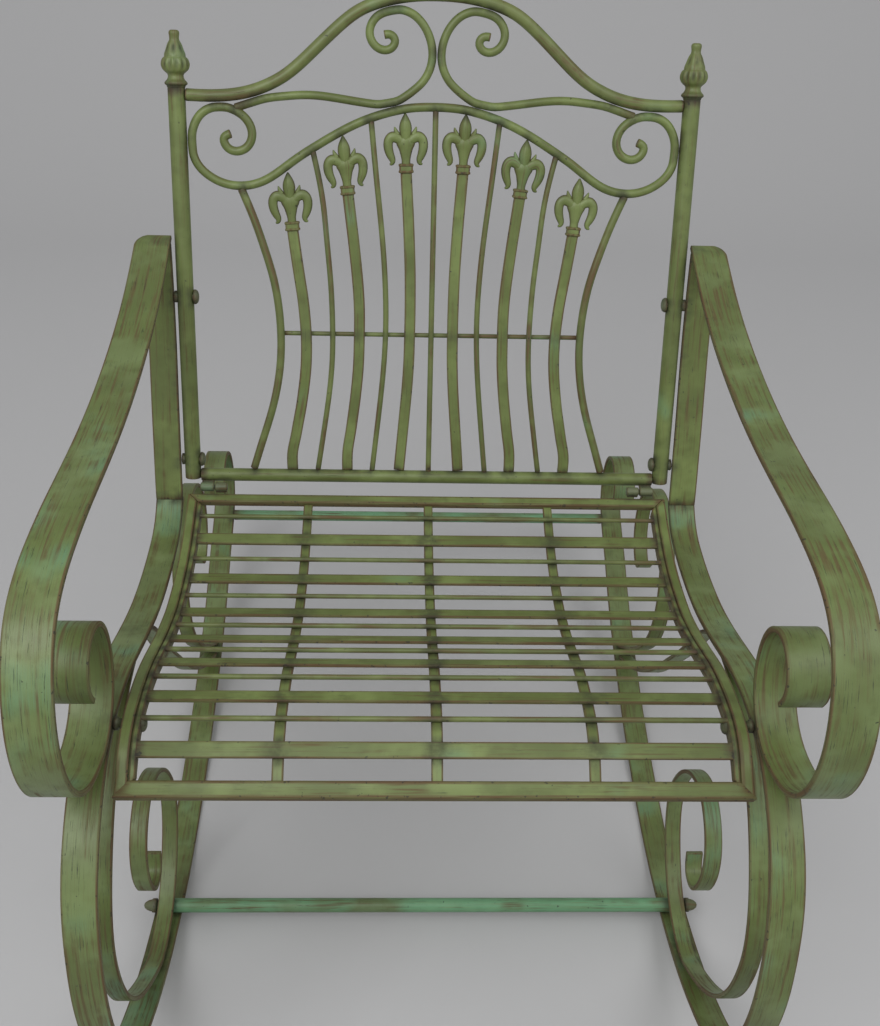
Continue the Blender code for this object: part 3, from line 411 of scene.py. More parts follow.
@dataclass
class Path:
    """A centreline with the directions in which a section is laid on it."""

    points: np.ndarray
    across: np.ndarray
    start_skew: tuple[float, float] = (0.0, 0.0)
    end_skew: tuple[float, float] = (0.0, 0.0)

    @staticmethod
    def spline(keys: np.ndarray, step: float) -> np.ndarray:
        """Natural cubic spline through key points, resampled at even steps.

        The second derivative at each key solves the usual three-term system, and
        each span is the cubic that those values give.

        Args:
            keys: Points that the curve passes through, one row each.
            step: Distance between samples.

        Returns:
            The samples, one row each.
        """
        runs = np.linalg.norm(np.diff(keys, axis=0), axis=1)
        knots = lengths(keys)
        samples = np.linspace(0.0, knots[-1], max(3, round(knots[-1] / step) + 1))
        if len(keys) < 3:
            share = (samples / knots[-1])[:, None]
            return keys[0] * (1 - share) + keys[-1] * share
        count = len(keys)
        system = np.eye(count)
        inside = np.arange(1, count - 1)
        system[inside, inside - 1] = runs[:-1]
        system[inside, inside] = 2 * (runs[:-1] + runs[1:])
        system[inside, inside + 1] = runs[1:]
        slopes = np.diff(keys, axis=0) / runs[:, None]
        right = np.zeros_like(keys)
        right[1:-1] = 6 * np.diff(slopes, axis=0)
        bend = np.linalg.solve(system, right)
        span = np.clip(np.searchsorted(knots, samples, side="right") - 1, 0, count - 2)
        t = (samples - knots[span])[:, None]
        run = runs[span][:, None]
        slope = slopes[span] - run * (2 * bend[span] + bend[span + 1]) / 6
        return (keys[span] + t * slope + t ** 2 * bend[span] / 2
                + t ** 3 * (bend[span + 1] - bend[span]) / (6 * run))

    @staticmethod
    def straight(start: np.ndarray, end: np.ndarray, across: np.ndarray, step: float = 0.01) -> Path:
        """Straight path between two points."""
        return Path(Path.spline(np.array((start, end)), step), across)

    def tangents(self) -> np.ndarray:
        """Unit tangents at the points."""
        return unit(np.gradient(self.points, axis=0))

    def backwards(self) -> Path:
        """The same path from its other end."""
        return Path(self.points[::-1], self.across)

    def on_side(self, sign: float) -> Path:
        """The path itself on the right, or its mirror image on the left.

        Args:
            sign: 1 for the right and -1 for the left.

        Returns:
            The path on that side.
        """
        if sign > 0:
            return self
        flip = np.array((-1.0, 1.0, 1.0))
        across = self.across if abs(self.across[0]) > 0.9 else self.across * flip
        start = (-self.start_skew[0], self.start_skew[1])
        return Path(self.points * flip, across, start, (-self.end_skew[0], self.end_skew[1]))

    def longer(self, start: float, end: float) -> Path:
        """The same path carried on straight at its ends.

        Args:
            start: Length added before the first point.
            end: Length added after the last point.

        Returns:
            The longer path.
        """
        way = self.tangents()
        first = self.points[0] - way[0] * start
        last = self.points[-1] + way[-1] * end
        return Path(np.vstack((first, self.points[1:-1], last)), self.across)


@dataclass
class Skin:
    """A mesh as arrays: points, quads with their UVs, flat caps, edge values, and grime with painted
    shade.
    """

    points: np.ndarray
    quads: np.ndarray
    uvs: np.ndarray
    caps: list[np.ndarray]
    edge: np.ndarray
    grime_and_shade: np.ndarray

    @staticmethod
    def sweep(path: Path, section: Section, end_radius: float = 0.0008,
              corner: float = 0.0, corner_sign: float = 1.0,
              swell: tuple[tuple[float, ...], tuple[float, ...]] | None = None) -> Skin:
        """Carry a section along a path, with rounded ends.

        A point of the surface is the centreline plus the section's two offsets
        along the width and thickness directions. Near each end the section shrinks
        along a quarter circle of end_radius, and a skewed end leans with the
        offsets. A corner radius draws in one side of the width at the start.

        Args:
            path: Centreline, with the width direction.
            section: Cross section.
            end_radius: Radius of the rounded end edge.
            corner: Radius of the rounded corner at the start, or zero.
            corner_sign: Side of the width that has the rounded corner.
            swell: Lengths along the path and the share of the thickness there.

        Returns:
            The swept surface.
        """
        tangent = path.tangents()
        along = lengths(path.points)
        length = along[-1]
        half = np.abs(section.shape).max(axis=0)
        clear = [1.05 * max(half @ np.abs(skew), end_radius) + end_radius
                 for skew in (path.start_skew, path.end_skew)]
        keep = (along > clear[0]) & (along < length - clear[1])
        turn = np.array((0.0, math.pi / 6, math.pi / 3, math.pi / 2))
        lead = end_radius * (1 - np.cos(turn))
        shrink = end_radius * (1 - np.sin(turn))
        at = np.concatenate((lead, along[keep], length - lead[::-1]))
        if corner:
            extra = corner * (1 - np.cos(np.linspace(0.1, math.pi / 2, 12)))
            at = np.sort(np.concatenate((at, extra[extra > end_radius * 1.2])))
        rounded = np.concatenate((lead, length - lead[::-1]))
        inset = np.interp(at, rounded, np.concatenate((shrink, shrink[::-1])))
        centre, way = (np.stack([np.interp(at, along, values[:, k]) for k in range(3)], axis=1)
                       for values in (path.points, tangent))
        way = unit(way)
        across = np.broadcast_to(path.across, way.shape)
        through = unit(np.cross(way, across))
        wide, deep = np.moveaxis(section.shape * (1 - inset[:, None, None] / half), 2, 0)
        if swell:
            deep = deep * np.interp(at, *swell)[:, None]
        if corner:
            left = np.maximum(0.0, corner - at)
            drawn = corner - np.sqrt(np.maximum(0.0, corner ** 2 - left ** 2))
            share = 1 - drawn[:, None] / (2 * half[0])
            wide = ((wide * corner_sign + half[0]) * share - half[0]) * corner_sign
        at_start, at_end = at[:, None] <= end_radius, at[:, None] >= length - end_radius
        lean = (at_start * (path.start_skew[0] * wide + path.start_skew[1] * deep)
                + at_end * (path.end_skew[0] * wide + path.end_skew[1] * deep))
        rings = (centre[:, None] + wide[..., None] * across[:, None]
                 + deep[..., None] * through[:, None] + lean[..., None] * way[:, None])
        edge = np.broadcast_to(section.edge, wide.shape).copy()
        edge[:len(lead)] = 1.0
        edge[-len(lead):] = 1.0
        return Skin.grid(rings, at, section.around, edge, np.zeros(wide.shape))

    @staticmethod
    def grid(rings: np.ndarray, at: np.ndarray, around: np.ndarray, edge: np.ndarray,
             grime_and_shade: np.ndarray) -> Skin:
        """Join rings of points into quads, with flat caps at both ends.

        Args:
            rings: Points as (ring, place round the ring, coordinate).
            at: UV value of each ring.
            around: UV value round the ring, with its closing value.
            edge: Edge value of each point.
            grime_and_shade: Grime and painted shade of each point.

        Returns:
            The joined surface, whose faces point outwards.
        """
        count, size = rings.shape[:2]
        ring, place = np.meshgrid(np.arange(count - 1), np.arange(size), indexing="ij")
        rows = np.stack((ring, ring, ring + 1, ring + 1), axis=-1)
        columns = np.stack((place, place + 1, place + 1, place), axis=-1)
        quads = (rows * size + columns % size).reshape(-1, 4)
        uvs = np.stack((at[rows], around[columns]), axis=-1).reshape(-1, 2)
        caps = [np.arange(size)[::-1], (count - 1) * size + np.arange(size)]
        points = rings.reshape(-1, 3)
        corner = (points - points.mean(axis=0))[quads]
        volume = sum(np.einsum("ij,ij->", corner[:, 0], np.cross(corner[:, k], corner[:, k + 1]))
                     for k in (1, 2))
        if volume < 0:
            quads = quads[:, ::-1]
            uvs = uvs.reshape(-1, 4, 2)[:, ::-1].reshape(-1, 2)
            caps = [cap[::-1] for cap in caps]
        return Skin(points, quads, uvs, caps, edge.reshape(-1), grime_and_shade.reshape(-1))

    @staticmethod
    def lobe(keys: Keys | np.ndarray, place: np.ndarray, depth: float, ridge: float = 0.0) -> Skin:
        """Swelling cast limb, drawn in a plane.

        A spline runs through rows of (u, v, half width). The section is an ellipse
        across it, as thick as the square root of its width, with a raised middle.

        Args:
            keys: Rows of (u, v, half width).
            place: Rows u, v, facing and origin of the plane.
            depth: Half thickness where the limb is widest.
            ridge: How much the middle stands out, as a share.

        Returns:
            The limb, closed at its ends.
        """
        line = Path.spline(np.array(keys), LOBE_STEP)
        half = np.maximum(line[:, 2:], LOBE_TIP)
        way = unit(np.gradient(line[:, :2], axis=0))
        cos, sin = circle(20).T
        wide = half * cos
        deep = depth * np.sqrt(half / half.max()) * sin * (1 + ridge * np.abs(sin) ** 7)
        square = np.stack((way[:, 1], -way[:, 0]), axis=1)[:, None]
        flat = line[:, None, :2] + wide[..., None] * square
        rings = place[3] + flat @ place[:2] + deep[..., None] * place[2]
        around = np.linspace(0.0, 2 * math.pi * half.max(), len(cos) + 1)
        # The rim of each limb counts as edge and gets painted shade along the limb's outline.
        rim = np.broadcast_to(np.abs(cos), wide.shape)
        return Skin.grid(rings, lengths(line[:, :2]), around, 0.9 * rim ** 3, 0.85 * rim ** 6)

    @staticmethod
    def lathe(profile: np.ndarray, origin: np.ndarray, axis: np.ndarray, side: np.ndarray,
              steps: int = 32, flutes: Keys = ()) -> Skin:
        """Turn a (radius, height) profile about an axis.

        Args:
            profile: Radius and height of each point, from one end to the other.
            origin: Point of the axis at height zero.
            axis: Unit direction of the axis.
            side: Any unit direction square to the axis.
            steps: Points round the axis.
            flutes: Depth, number, lowest and highest height of each band of flutes.

        Returns:
            The turned surface, closed at its ends.
        """
        radius = np.repeat(profile[:, :1], steps, axis=1)
        grime_and_shade = np.zeros_like(radius)
        turn = np.linspace(0.0, 2 * math.pi, steps, endpoint=False)
        for depth, number, low, high in flutes:
            share = np.clip((profile[:, 1:] - low) / (high - low), 0.0, 1.0)
            valley = np.sin(math.pi * share) * (0.5 - 0.5 * np.cos(number * turn))
            radius = radius - depth * valley
            # Painted shade in the flute valleys, kept with the grime.
            grime_and_shade = np.maximum(grime_and_shade, 0.9 * valley ** 2)
        ring = circle(steps) @ np.array((side, np.cross(axis, side)))
        rings = origin + profile[:, 1:, None] * axis + radius[..., None] * ring
        around = np.linspace(0.0, 2 * math.pi * profile[:, 0].max(), steps + 1)
        slope = np.arctan2(np.gradient(profile[:, 1]), np.gradient(profile[:, 0]))
        edge = np.clip(np.abs(np.gradient(slope)), 0.0, 1.0)[:, None] * np.ones(steps)
        return Skin.grid(rings, lengths(profile), around, edge, grime_and_shade)

    @staticmethod
    def joined(skins: list[Skin]) -> Skin:
        """Several surfaces as one mesh."""
        starts = np.cumsum([0] + [len(skin.points) for skin in skins[:-1]])
        return Skin(
            np.vstack([skin.points for skin in skins]),
            np.vstack([skin.quads + start for skin, start in zip(skins, starts)]),
            np.vstack([skin.uvs for skin in skins]),
            [cap + start for skin, start in zip(skins, starts) for cap in skin.caps],
            np.concatenate([skin.edge for skin in skins]),
            np.concatenate([skin.grime_and_shade for skin in skins]),
        )


class SolidReader:
    """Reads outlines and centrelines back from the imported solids."""

    def __init__(self, nodes: dict[str, bpy.types.Object]) -> None:
        """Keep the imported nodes."""
        self.nodes = nodes

    def solid(self, node: str) -> tuple[np.ndarray, np.ndarray]:
        """Merged points and triangles of a node.

        Args:
            node: Name of the node.

        Returns:
            Points, one row each, and the three point numbers of each triangle.
        """
        mesh = self.nodes[node].data
        flat = np.empty(len(mesh.vertices) * 3, np.float32)
        mesh.vertices.foreach_get("co", flat)
        mesh.calc_loop_triangles()
        corners = np.empty(len(mesh.loop_triangles) * 3, np.int32)
        mesh.loop_triangles.foreach_get("vertices", corners)
        cells = np.round(flat.reshape(-1, 3).astype(float) / MERGE_STEP).astype(np.int64)
        merged, number = np.unique(cells, axis=0, return_inverse=True)
        return merged * MERGE_STEP, number.reshape(-1)[corners].reshape(-1, 3)

    def outline(self, node: str, axis: np.ndarray) -> np.ndarray:
        """Corner points round a plate's flat face at its far end along an axis.

        The face's rim is every directed edge of its triangles that has no twin the
        other way, followed from point to point; the longest rim is the outer one.

        Args:
            node: Name of the node.
            axis: Direction in which the face looks.

        Returns:
            The rim's points in order.
        """
        points, triangles = self.solid(node)
        height = points @ axis
        top = height > height.max() - FACE_TOLERANCE
        flat = triangles[top[triangles].all(axis=1)]
        edges = sides_of(flat)
        size = len(points)
        rim = edges[~np.isin(edges[:, 0] * size + edges[:, 1], edges[:, 1] * size + edges[:, 0])]
        follow = dict(rim.tolist())
        rims: list[list[int]] = []
        while follow:
            start, place = follow.popitem()
            chain = [start]
            while place != start:
                chain.append(place)
                place = follow.pop(place)
            rims.append(chain)
        longest = max(rims, key=lambda chain: np.linalg.norm(np.ptp(points[chain], axis=0)))
        return points[longest]

    def edges(self, node: str, axis: np.ndarray) -> tuple[np.ndarray, np.ndarray]:
        """The two long edges of a bent bar's outline, point by point opposite.

        The two ends of the bar are the two sides of the outline at whose corners
        the outline turns most.

        Args:
            node: Name of the node.
            axis: Direction in which the bar's flat face looks.

        Returns:
            Both edges, running the same way.
        """
        rim = self.outline(node, axis)
        way = unit(np.roll(rim, -1, axis=0) - rim)
        turn = np.arccos(np.clip((way * np.roll(way, 1, axis=0)).sum(axis=1), -1.0, 1.0))
        score = turn + np.roll(turn, -1)
        first = int(score.argmax())
        near = {(first - 1) % len(rim), first, (first + 1) % len(rim)}
        second = max((i for i in range(len(rim)) if i not in near), key=lambda i: score[i])
        rim = np.roll(rim, -(first + 1), axis=0)
        split = (second - first - 1) % len(rim)
        return rim[:split + 1], rim[split + 1:][::-1]

    def bar(self, node: str, x: float, step: float, axis: np.ndarray = X_AXIS) -> Path:
        """Centreline of a bar bent in the side plane, laid at a distance across.

        Args:
            node: Name of the node.
            x: Distance of the bar's middle from the chair's middle.
            step: Distance between samples.
            axis: Direction in which the face that is read looks.

        Returns:
            The path, whose width direction is X and whose ends keep their mitres.
        """
        one, two = self.edges(node, axis)
        middle = (one + two) / 2
        keys = middle.copy()
        keys[:, 0] = x
        path = Path(Path.spline(keys, step), X_AXIS)
        tangent = path.tangents()
        skews = []
        for end, direction in ((0, tangent[0]), (-1, tangent[-1])):
            gap = one[end] - two[end]
            through = np.cross(direction, X_AXIS)
            skews.append((0.0, float(gap @ direction / (gap @ through))))
        path.start_skew, path.end_skew = skews
        return path

    def tube(self, node: str, diameter: float, step: float, across: np.ndarray) -> Path:
        """Centreline of a bent round bar: the middles of its rings, end to end.

        A flat cap is found as the most triangles in one plane that lie within a
        diameter; from its rim, each next ring is every point that an edge joins to
        the last one.

        Args:
            node: Name of the node.
            diameter: The bar's diameter.
            step: Distance between samples.
            across: Direction square to the plane in which the bar is bent.

        Returns:
            The path.
        """
        points, triangles = self.solid(node)
        corners = points[triangles]
        normal = unit(np.cross(corners[:, 1] - corners[:, 0], corners[:, 2] - corners[:, 0]))
        same = normal @ normal.T > SAME_WAY
        level = normal @ corners[:, 0].T
        same &= np.abs(level - np.diag(level)[:, None]) < SAME_LEVEL
        centre = corners.mean(axis=1)
        apart = np.linalg.norm(centre[:, None, :] - centre[None, :, :], axis=2)
        same &= apart < diameter
        stretch = np.where(same, apart, 0.0).max(axis=1)
        edge = np.linalg.norm(corners - np.roll(corners, 1, axis=1), axis=2).max(axis=1)
        cap = same[np.where(edge < 1.02 * diameter, same.sum(axis=1) - stretch, 0.0).argmax()]
        pairs = sides_of(triangles)
        ring = np.unique(triangles[cap])
        seen = np.zeros(len(points), bool)
        middles = []
        while len(ring):
            seen[ring] = True
            middles.append(points[ring].mean(axis=0))
            touching = pairs[np.isin(pairs, ring).any(axis=1)]
            ring = np.unique(touching[~seen[touching]])
        return Path(Path.spline(np.array(middles), step), across)

    def ends(self, node: str) -> tuple[np.ndarray, np.ndarray]:
        """Middle points of the two ends of a straight bar.

        Args:
            node: Name of the node.

        Returns:
            The two end points, along the bar's longest direction.
        """
        points = self.solid(node)[0]
        middle = points.mean(axis=0)
        axis = np.linalg.svd(points - middle, full_matrices=False)[2][0]
        axis *= np.sign(axis[np.abs(axis).argmax()])
        along = points @ axis
        low = points[along < along.min() + FACE_TOLERANCE].mean(axis=0)
        high = points[along > along.max() - FACE_TOLERANCE].mean(axis=0)
        return low, high


@dataclass
class Workshop:
    """Puts finished skins into the scene and keeps what joint grime needs."""

    record: dict
    materials: dict[Slot, bpy.types.Material] = field(default_factory=dict)
    pieces: list[tuple[bpy.types.Object, Skin]] = field(default_factory=list)
    draws: np.random.Generator = field(default_factory=lambda: np.random.default_rng(7))
    repainted: dict[str, Slot] = field(default_factory=lambda: {
        "top_arch_rail": Slot.ROD, "left_finial": Slot.ROD, "right_finial": Slot.ROD,
        "left_side_bar": Slot.ARM, "right_side_bar": Slot.ARM,
        "left_front_scroll_bar": Slot.ARM, "right_front_scroll_bar": Slot.ARM,
        "rear_stretcher": Slot.PALE})
    clean: tuple[str, ...] = ("cross_rod_skin",)
    clean_share: float = 0.25

    def slot_of(self, node: str) -> Slot:
        """Material slot that the record gives a node."""
        names = {part["node"]: part["material_slot"] for part in self.record["subparts"]}
        return Slot(names[node])

    def material(self, slot: Slot) -> bpy.types.Material:
        """The slot's finish, made once."""
        if slot not in self.materials:
            self.materials[slot] = FINISHES[slot].material()
        return self.materials[slot]

    def place(self, name: str, skin: Skin, *nodes: str, slot: Slot | None = None) -> None:
        """Turn a skin into an object that stands for one or more nodes.

        Args:
            name: Name of the piece.
            skin: Its surface.
            *nodes: Nodes that it replaces; the first gives its slot.
            slot: Slot of a piece that replaces no node.
        """
        mesh = bpy.data.meshes.new(name)
        faces = skin.quads.tolist() + [cap.tolist() for cap in skin.caps]
        mesh.from_pydata(skin.points.tolist(), [], faces)
        shift = self.draws.uniform(0.0, 40.0, 2) * (1.0, 0.05)
        uvs = [skin.uvs + shift]
        for cap in skin.caps:
            uvs.append(skin.points[cap][:, :2] + shift)
        layer = mesh.uv_layers.new(name="along_bar")
        layer.data.foreach_set("uv", np.vstack(uvs).astype(np.float32).ravel())
        smooth = np.ones(len(faces), bool)
        smooth[len(skin.quads):] = False
        mesh.polygons.foreach_set("use_smooth", smooth)
        # The joint attribute carries joint grime and painted shade in hollows.
        for title, values in (("edge", skin.edge), ("joint_grime_and_hollow_shade", skin.grime_and_shade)):
            data = mesh.attributes.new(title, "FLOAT", "POINT").data
            data.foreach_set("value", values.astype(np.float32))
        slot = slot or self.slot_of(nodes[0])
        shown = self.repainted.get(nodes[0], slot) if nodes else slot
        mesh.materials.append(self.material(shown))
        piece = bpy.data.objects.new(name, mesh)
        bpy.context.scene.collection.objects.link(piece)
        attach(piece, "root")
        if nodes:
            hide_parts(*nodes)
        self.pieces.append((piece, skin))
        LOG.info("%s: %d faces for %s", name, len(faces), ", ".join(nodes))

    def grime_joints(self, reach: float = 0.009, contact: float = 0.002) -> None:
        """Darken each piece where another comes close.

        The joint value falls from one at the contact distance to zero at reach,
        measured from each point to the nearest of the other pieces' points.

        Args:
            reach: Distance at which the grime ends.
            contact: Distance up to which it is full.
        """
        boxes = [(skin.points.min(axis=0) - reach, skin.points.max(axis=0) + reach)
                 for _, skin in self.pieces]
        for index, (piece, skin) in enumerate(self.pieces):
            nearest = np.full(len(skin.points), reach ** 2)
            for other, (_, neighbour) in enumerate(self.pieces):
                low = np.maximum(boxes[index][0], boxes[other][0])
                high = np.minimum(boxes[index][1], boxes[other][1])
                if other == index or (low > high).any():
                    continue
                mine, theirs = (((near.points > low) & (near.points < high)).all(axis=1)
                                for near in (skin, neighbour))
                mine = np.nonzero(mine)[0]
                theirs = neighbour.points[theirs][::3]
                if not len(mine) or not len(theirs):
                    continue
                for part in np.array_split(mine, len(mine) // 1500 + 1):
                    own = skin.points[part]
                    apart = (own ** 2).sum(axis=1)[:, None] + (theirs ** 2).sum(axis=1)
                    apart -= 2 * own @ theirs.T
                    nearest[part] = np.minimum(nearest[part], apart.min(axis=1))
            distance = np.sqrt(np.maximum(nearest, 0.0))
            value = np.clip((reach - distance) / (reach - contact), 0.0, 1.0)
            if piece.name in self.clean:
                value = value * self.clean_share
            # Painted shade in flute valleys and along cast limbs stays where it is darker.
            value = np.maximum(value, skin.grime_and_shade)
            piece.data.attributes["joint_grime_and_hollow_shade"].data.foreach_set("value", value.astype(np.float32))


@dataclass
class Maker:
    """Makes one group of the chair's pieces."""

    reader: SolidReader
    workshop: Workshop


@dataclass
class SideFrames(Maker):
    """Arms, uprights, side bars and scroll bars of bent flat bar.

    Curl keys are the distance behind the seat's front and the height.
    """

    bar_width: float = 0.030
    bar_thickness: float = 0.005
    scroll_width: float = 0.018
    scroll_thickness: float = 0.0045
    arm_width: float = 0.0375
    arm_thickness: float = 0.005
    arm_corner: float = 0.016
    step: float = 0.003
    key_stride: int = 8
    curl_from: float = 0.770
    curl_keys: Keys = (
        (0.812, 0.1140), (0.836, 0.1310), (0.848, 0.1580), (0.846, 0.1880),
        (0.833, 0.2150), (0.813, 0.2320), (0.790, 0.2380), (0.768, 0.2310),
        (0.755, 0.2140), (0.756, 0.1950), (0.766, 0.1840), (0.779, 0.1820),
    )

    def build(self) -> None:
        """Skin the bars of both sides."""
        flat = Section.flat(self.bar_width, self.bar_thickness)
        scroll = Section.flat(self.scroll_width, self.scroll_thickness)
        arm = Section.flat(self.arm_width, self.arm_thickness)
        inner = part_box("right_side_bar")[0].x
        for name, section in (("side_bar", flat), ("upright", flat),
                              ("front_scroll_bar", scroll), ("rear_scroll_bar", scroll)):
            path = self.reader.bar(f"right_{name}", inner + self.bar_width / 2, self.step)
            if name == "side_bar":
                path = self.with_curl(path)
            for side, sign in SIDES[::-1]:
                skin = Skin.sweep(path.on_side(sign), section)
                self.workshop.place(f"{side}_{name}_skin", skin, f"{side}_{name}")
        path = self.reader.bar("right_arm", inner + self.arm_width / 2, self.step, -X_AXIS)
        if path.points[0, 1] < path.points[-1, 1]:
            path = path.backwards()
        for side, sign in SIDES:
            skin = Skin.sweep(path.on_side(sign), arm, corner=self.arm_corner, corner_sign=sign)
            self.workshop.place(f"{side}_arm_skin", skin, f"{side}_arm")

    def with_curl(self, path: Path) -> Path:
        """Side bar whose rear end leans forward in its curl.

        Args:
            path: Centreline from the seat round the front leg to the curl.

        Returns:
            The path with its last stretch drawn anew.
        """
        points = path.points if path.points[0, 2] > path.points[-1, 2] else path.points[::-1]
        seat_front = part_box("seat_frame")[0].y
        low = int(points[:, 2].argmin())
        cut = low + int(np.argmax(points[low:, 1] > seat_front + self.curl_from))
        keys = np.array(self.curl_keys)
        side = np.full(len(keys), points[0, 0])
        curl = np.column_stack((side, keys[:, 0] + seat_front, keys[:, 1]))
        keys = np.vstack((points[:cut:self.key_stride], curl))
        return Path(Path.spline(keys, self.step), X_AXIS)


@dataclass
class Back(Maker):
    """Posts, finials, rails, spirals, rods and fleur bars of the leaning back.

    Finial keys are radius and height. Keys of the fleur-de-lis are the distance
    from its middle, its height and the half width there. A collar band has its
    lowest and highest place, width, thickness, end rounding and sample step.
    """

    post_diameter: float = 0.018
    top_rail_diameter: float = 0.0125
    bottom_rail_diameter: float = 0.0145
    top_scroll_diameter: float = 0.0085
    lower_arch_diameter: float = 0.009
    outer_rod_diameter: float = 0.0085
    thin_rod_diameter: float = 0.006
    cross_rod_diameter: float = 0.005
    bar_width: float = 0.012
    bar_thickness: float = 0.004
    fleur_height: float = 0.058
    finial_share: float = 0.955
    weld: float = 0.0015
    arch_weld: float = 0.004
    scroll_reach: float = 0.020
    step: float = 0.002
    finial_keys: Keys = (
        (0.0002, 0.0003), (0.0092, 0.0004), (0.0098, 0.0020), (0.0114, 0.0032),
        (0.0117, 0.0044), (0.0112, 0.0056), (0.0092, 0.0078), (0.0080, 0.0108),
        (0.0080, 0.0126), (0.0098, 0.0150), (0.0124, 0.0172), (0.0142, 0.0205),
        (0.0147, 0.0240), (0.0138, 0.0275), (0.0122, 0.0300), (0.0112, 0.0308),
        (0.0108, 0.0330), (0.0096, 0.0370), (0.0082, 0.0412), (0.0066, 0.0450),
        (0.0052, 0.0476), (0.0049, 0.0490), (0.0051, 0.0520), (0.0050, 0.0562),
        (0.0040, 0.0573), (0.0002, 0.0575),
    )
    finial_flutes: Keys = ((0.0024, 12, 0.0150, 0.0305), (0.0012, 6, 0.0305, 0.0470))
    fleur_depth: float = 0.0034
    hook_depth: float = 0.0032
    spur_depth: float = 0.0022
    crest_depth: float = 0.0016
    crest_lift: float = 0.0022
    stem_keys: Keys = (
        (0.0, 0.0080, 0.0048), (0.0, 0.0130, 0.0046), (0.0, 0.0180, 0.0056),
        (0.0, 0.0250, 0.0078), (0.0, 0.0305, 0.0098), (0.0, 0.0340, 0.0080),
        (0.0, 0.0370, 0.0035),
    )
    petal_keys: Keys = (
        (0.0, 0.0280, 0.0020), (0.0, 0.0330, 0.0042), (0.0, 0.0380, 0.0056),
        (0.0, 0.0440, 0.0066), (0.0, 0.0500, 0.0058), (0.0, 0.0555, 0.0034),
        (0.0, 0.0600, 0.0008),
    )
    hook_keys: Keys = (
        (0.0030, 0.0300, 0.0040), (0.0085, 0.0350, 0.0052), (0.0135, 0.0364, 0.0055),
        (0.0172, 0.0336, 0.0051), (0.0184, 0.0282, 0.0049), (0.0175, 0.0220, 0.0046),
        (0.0154, 0.0165, 0.0039), (0.0141, 0.0125, 0.0031), (0.0150, 0.0097, 0.0021),
        (0.0172, 0.0088, 0.0008),
    )
    spur_keys: Keys = (
        (0.0082, 0.0385, 0.0030), (0.0100, 0.0422, 0.0022), (0.0113, 0.0465, 0.0006),
    )
    crest_keys: Keys = (
        (0.0040, 0.0300, 0.0010), (0.0090, 0.0345, 0.0017), (0.0135, 0.0362, 0.0018),
        (0.0168, 0.0336, 0.0017), (0.0180, 0.0285, 0.0015), (0.0172, 0.0225, 0.0008),
    )
    collar_bands: Keys = (
        (-0.0002, 0.0096, 0.0144, 0.0068, 0.0012, 0.0020),
        (0.0002, 0.0026, 0.0158, 0.0082, 0.0008, 0.0006),
        (0.0068, 0.0092, 0.0158, 0.0082, 0.0008, 0.0006),
    )

    def build(self) -> None:
        """Skin every piece of the back."""
        foot, head = self.reader.ends("right_back_post")
        self.up = unit(head - foot)
        self.facing = np.cross(self.up, X_AXIS)
        self.tubes()
        self.finials(head)
        for number in (1, 2, 3):
            self.fleur_bar(number)

    def tubes(self) -> None:
        """Skin the round bars, straight and bent."""
        post, thin = self.post_diameter, self.thin_rod_diameter
        scroll, outer = self.top_scroll_diameter, self.outer_rod_diameter
        straight = {"left_back_post": post, "right_back_post": post,
                    "back_bottom_rail": self.bottom_rail_diameter,
                    "cross_rod": self.cross_rod_diameter, "middle_rod": thin}
        bent = {"top_arch_rail": self.top_rail_diameter, "lower_arch": self.lower_arch_diameter,
                "right_top_scroll": scroll, "left_top_scroll": scroll,
                "right_outer_rod": outer, "left_outer_rod": outer,
                "right_rod_1": thin, "left_rod_1": thin, "right_rod_2": thin, "left_rod_2": thin}
        for node, diameter in straight.items():
            path = Path.straight(*self.reader.ends(node), self.facing)
            if "rod" in node:
                path = path.longer(self.weld, self.weld)
            self.workshop.place(f"{node}_skin", Skin.sweep(path, Section.round(diameter)), node)
        for node, diameter in bent.items():
            path = self.reader.tube(node, diameter, self.step, self.facing)
            if "rod" in node:
                if path.points[0, 2] > path.points[-1, 2]:
                    path = path.backwards()
                path = path.longer(self.weld, self.arch_weld)
            if "scroll" in node:
                if abs(path.points[0, 0]) > abs(path.points[-1, 0]):
                    path = path.backwards()
                path = path.longer(0.0, self.scroll_reach)
            self.workshop.place(f"{node}_skin", Skin.sweep(path, Section.round(diameter, 16)), node)

    def finials(self, post_top: np.ndarray) -> None:
        """Turned finials with a fluted bulb.

        Args:
            post_top: Middle of the right post's upper end.
        """
        profile = Path.spline(np.array(self.finial_keys) * (1.0, self.finial_share), 0.0009)
        for side, sign in SIDES:
            origin = post_top * (sign, 1.0, 1.0)
            skin = Skin.lathe(profile, origin, self.up, X_AXIS, steps=64, flutes=self.finial_flutes)
            self.workshop.place(f"{side}_finial_turned", skin, f"{side}_finial")

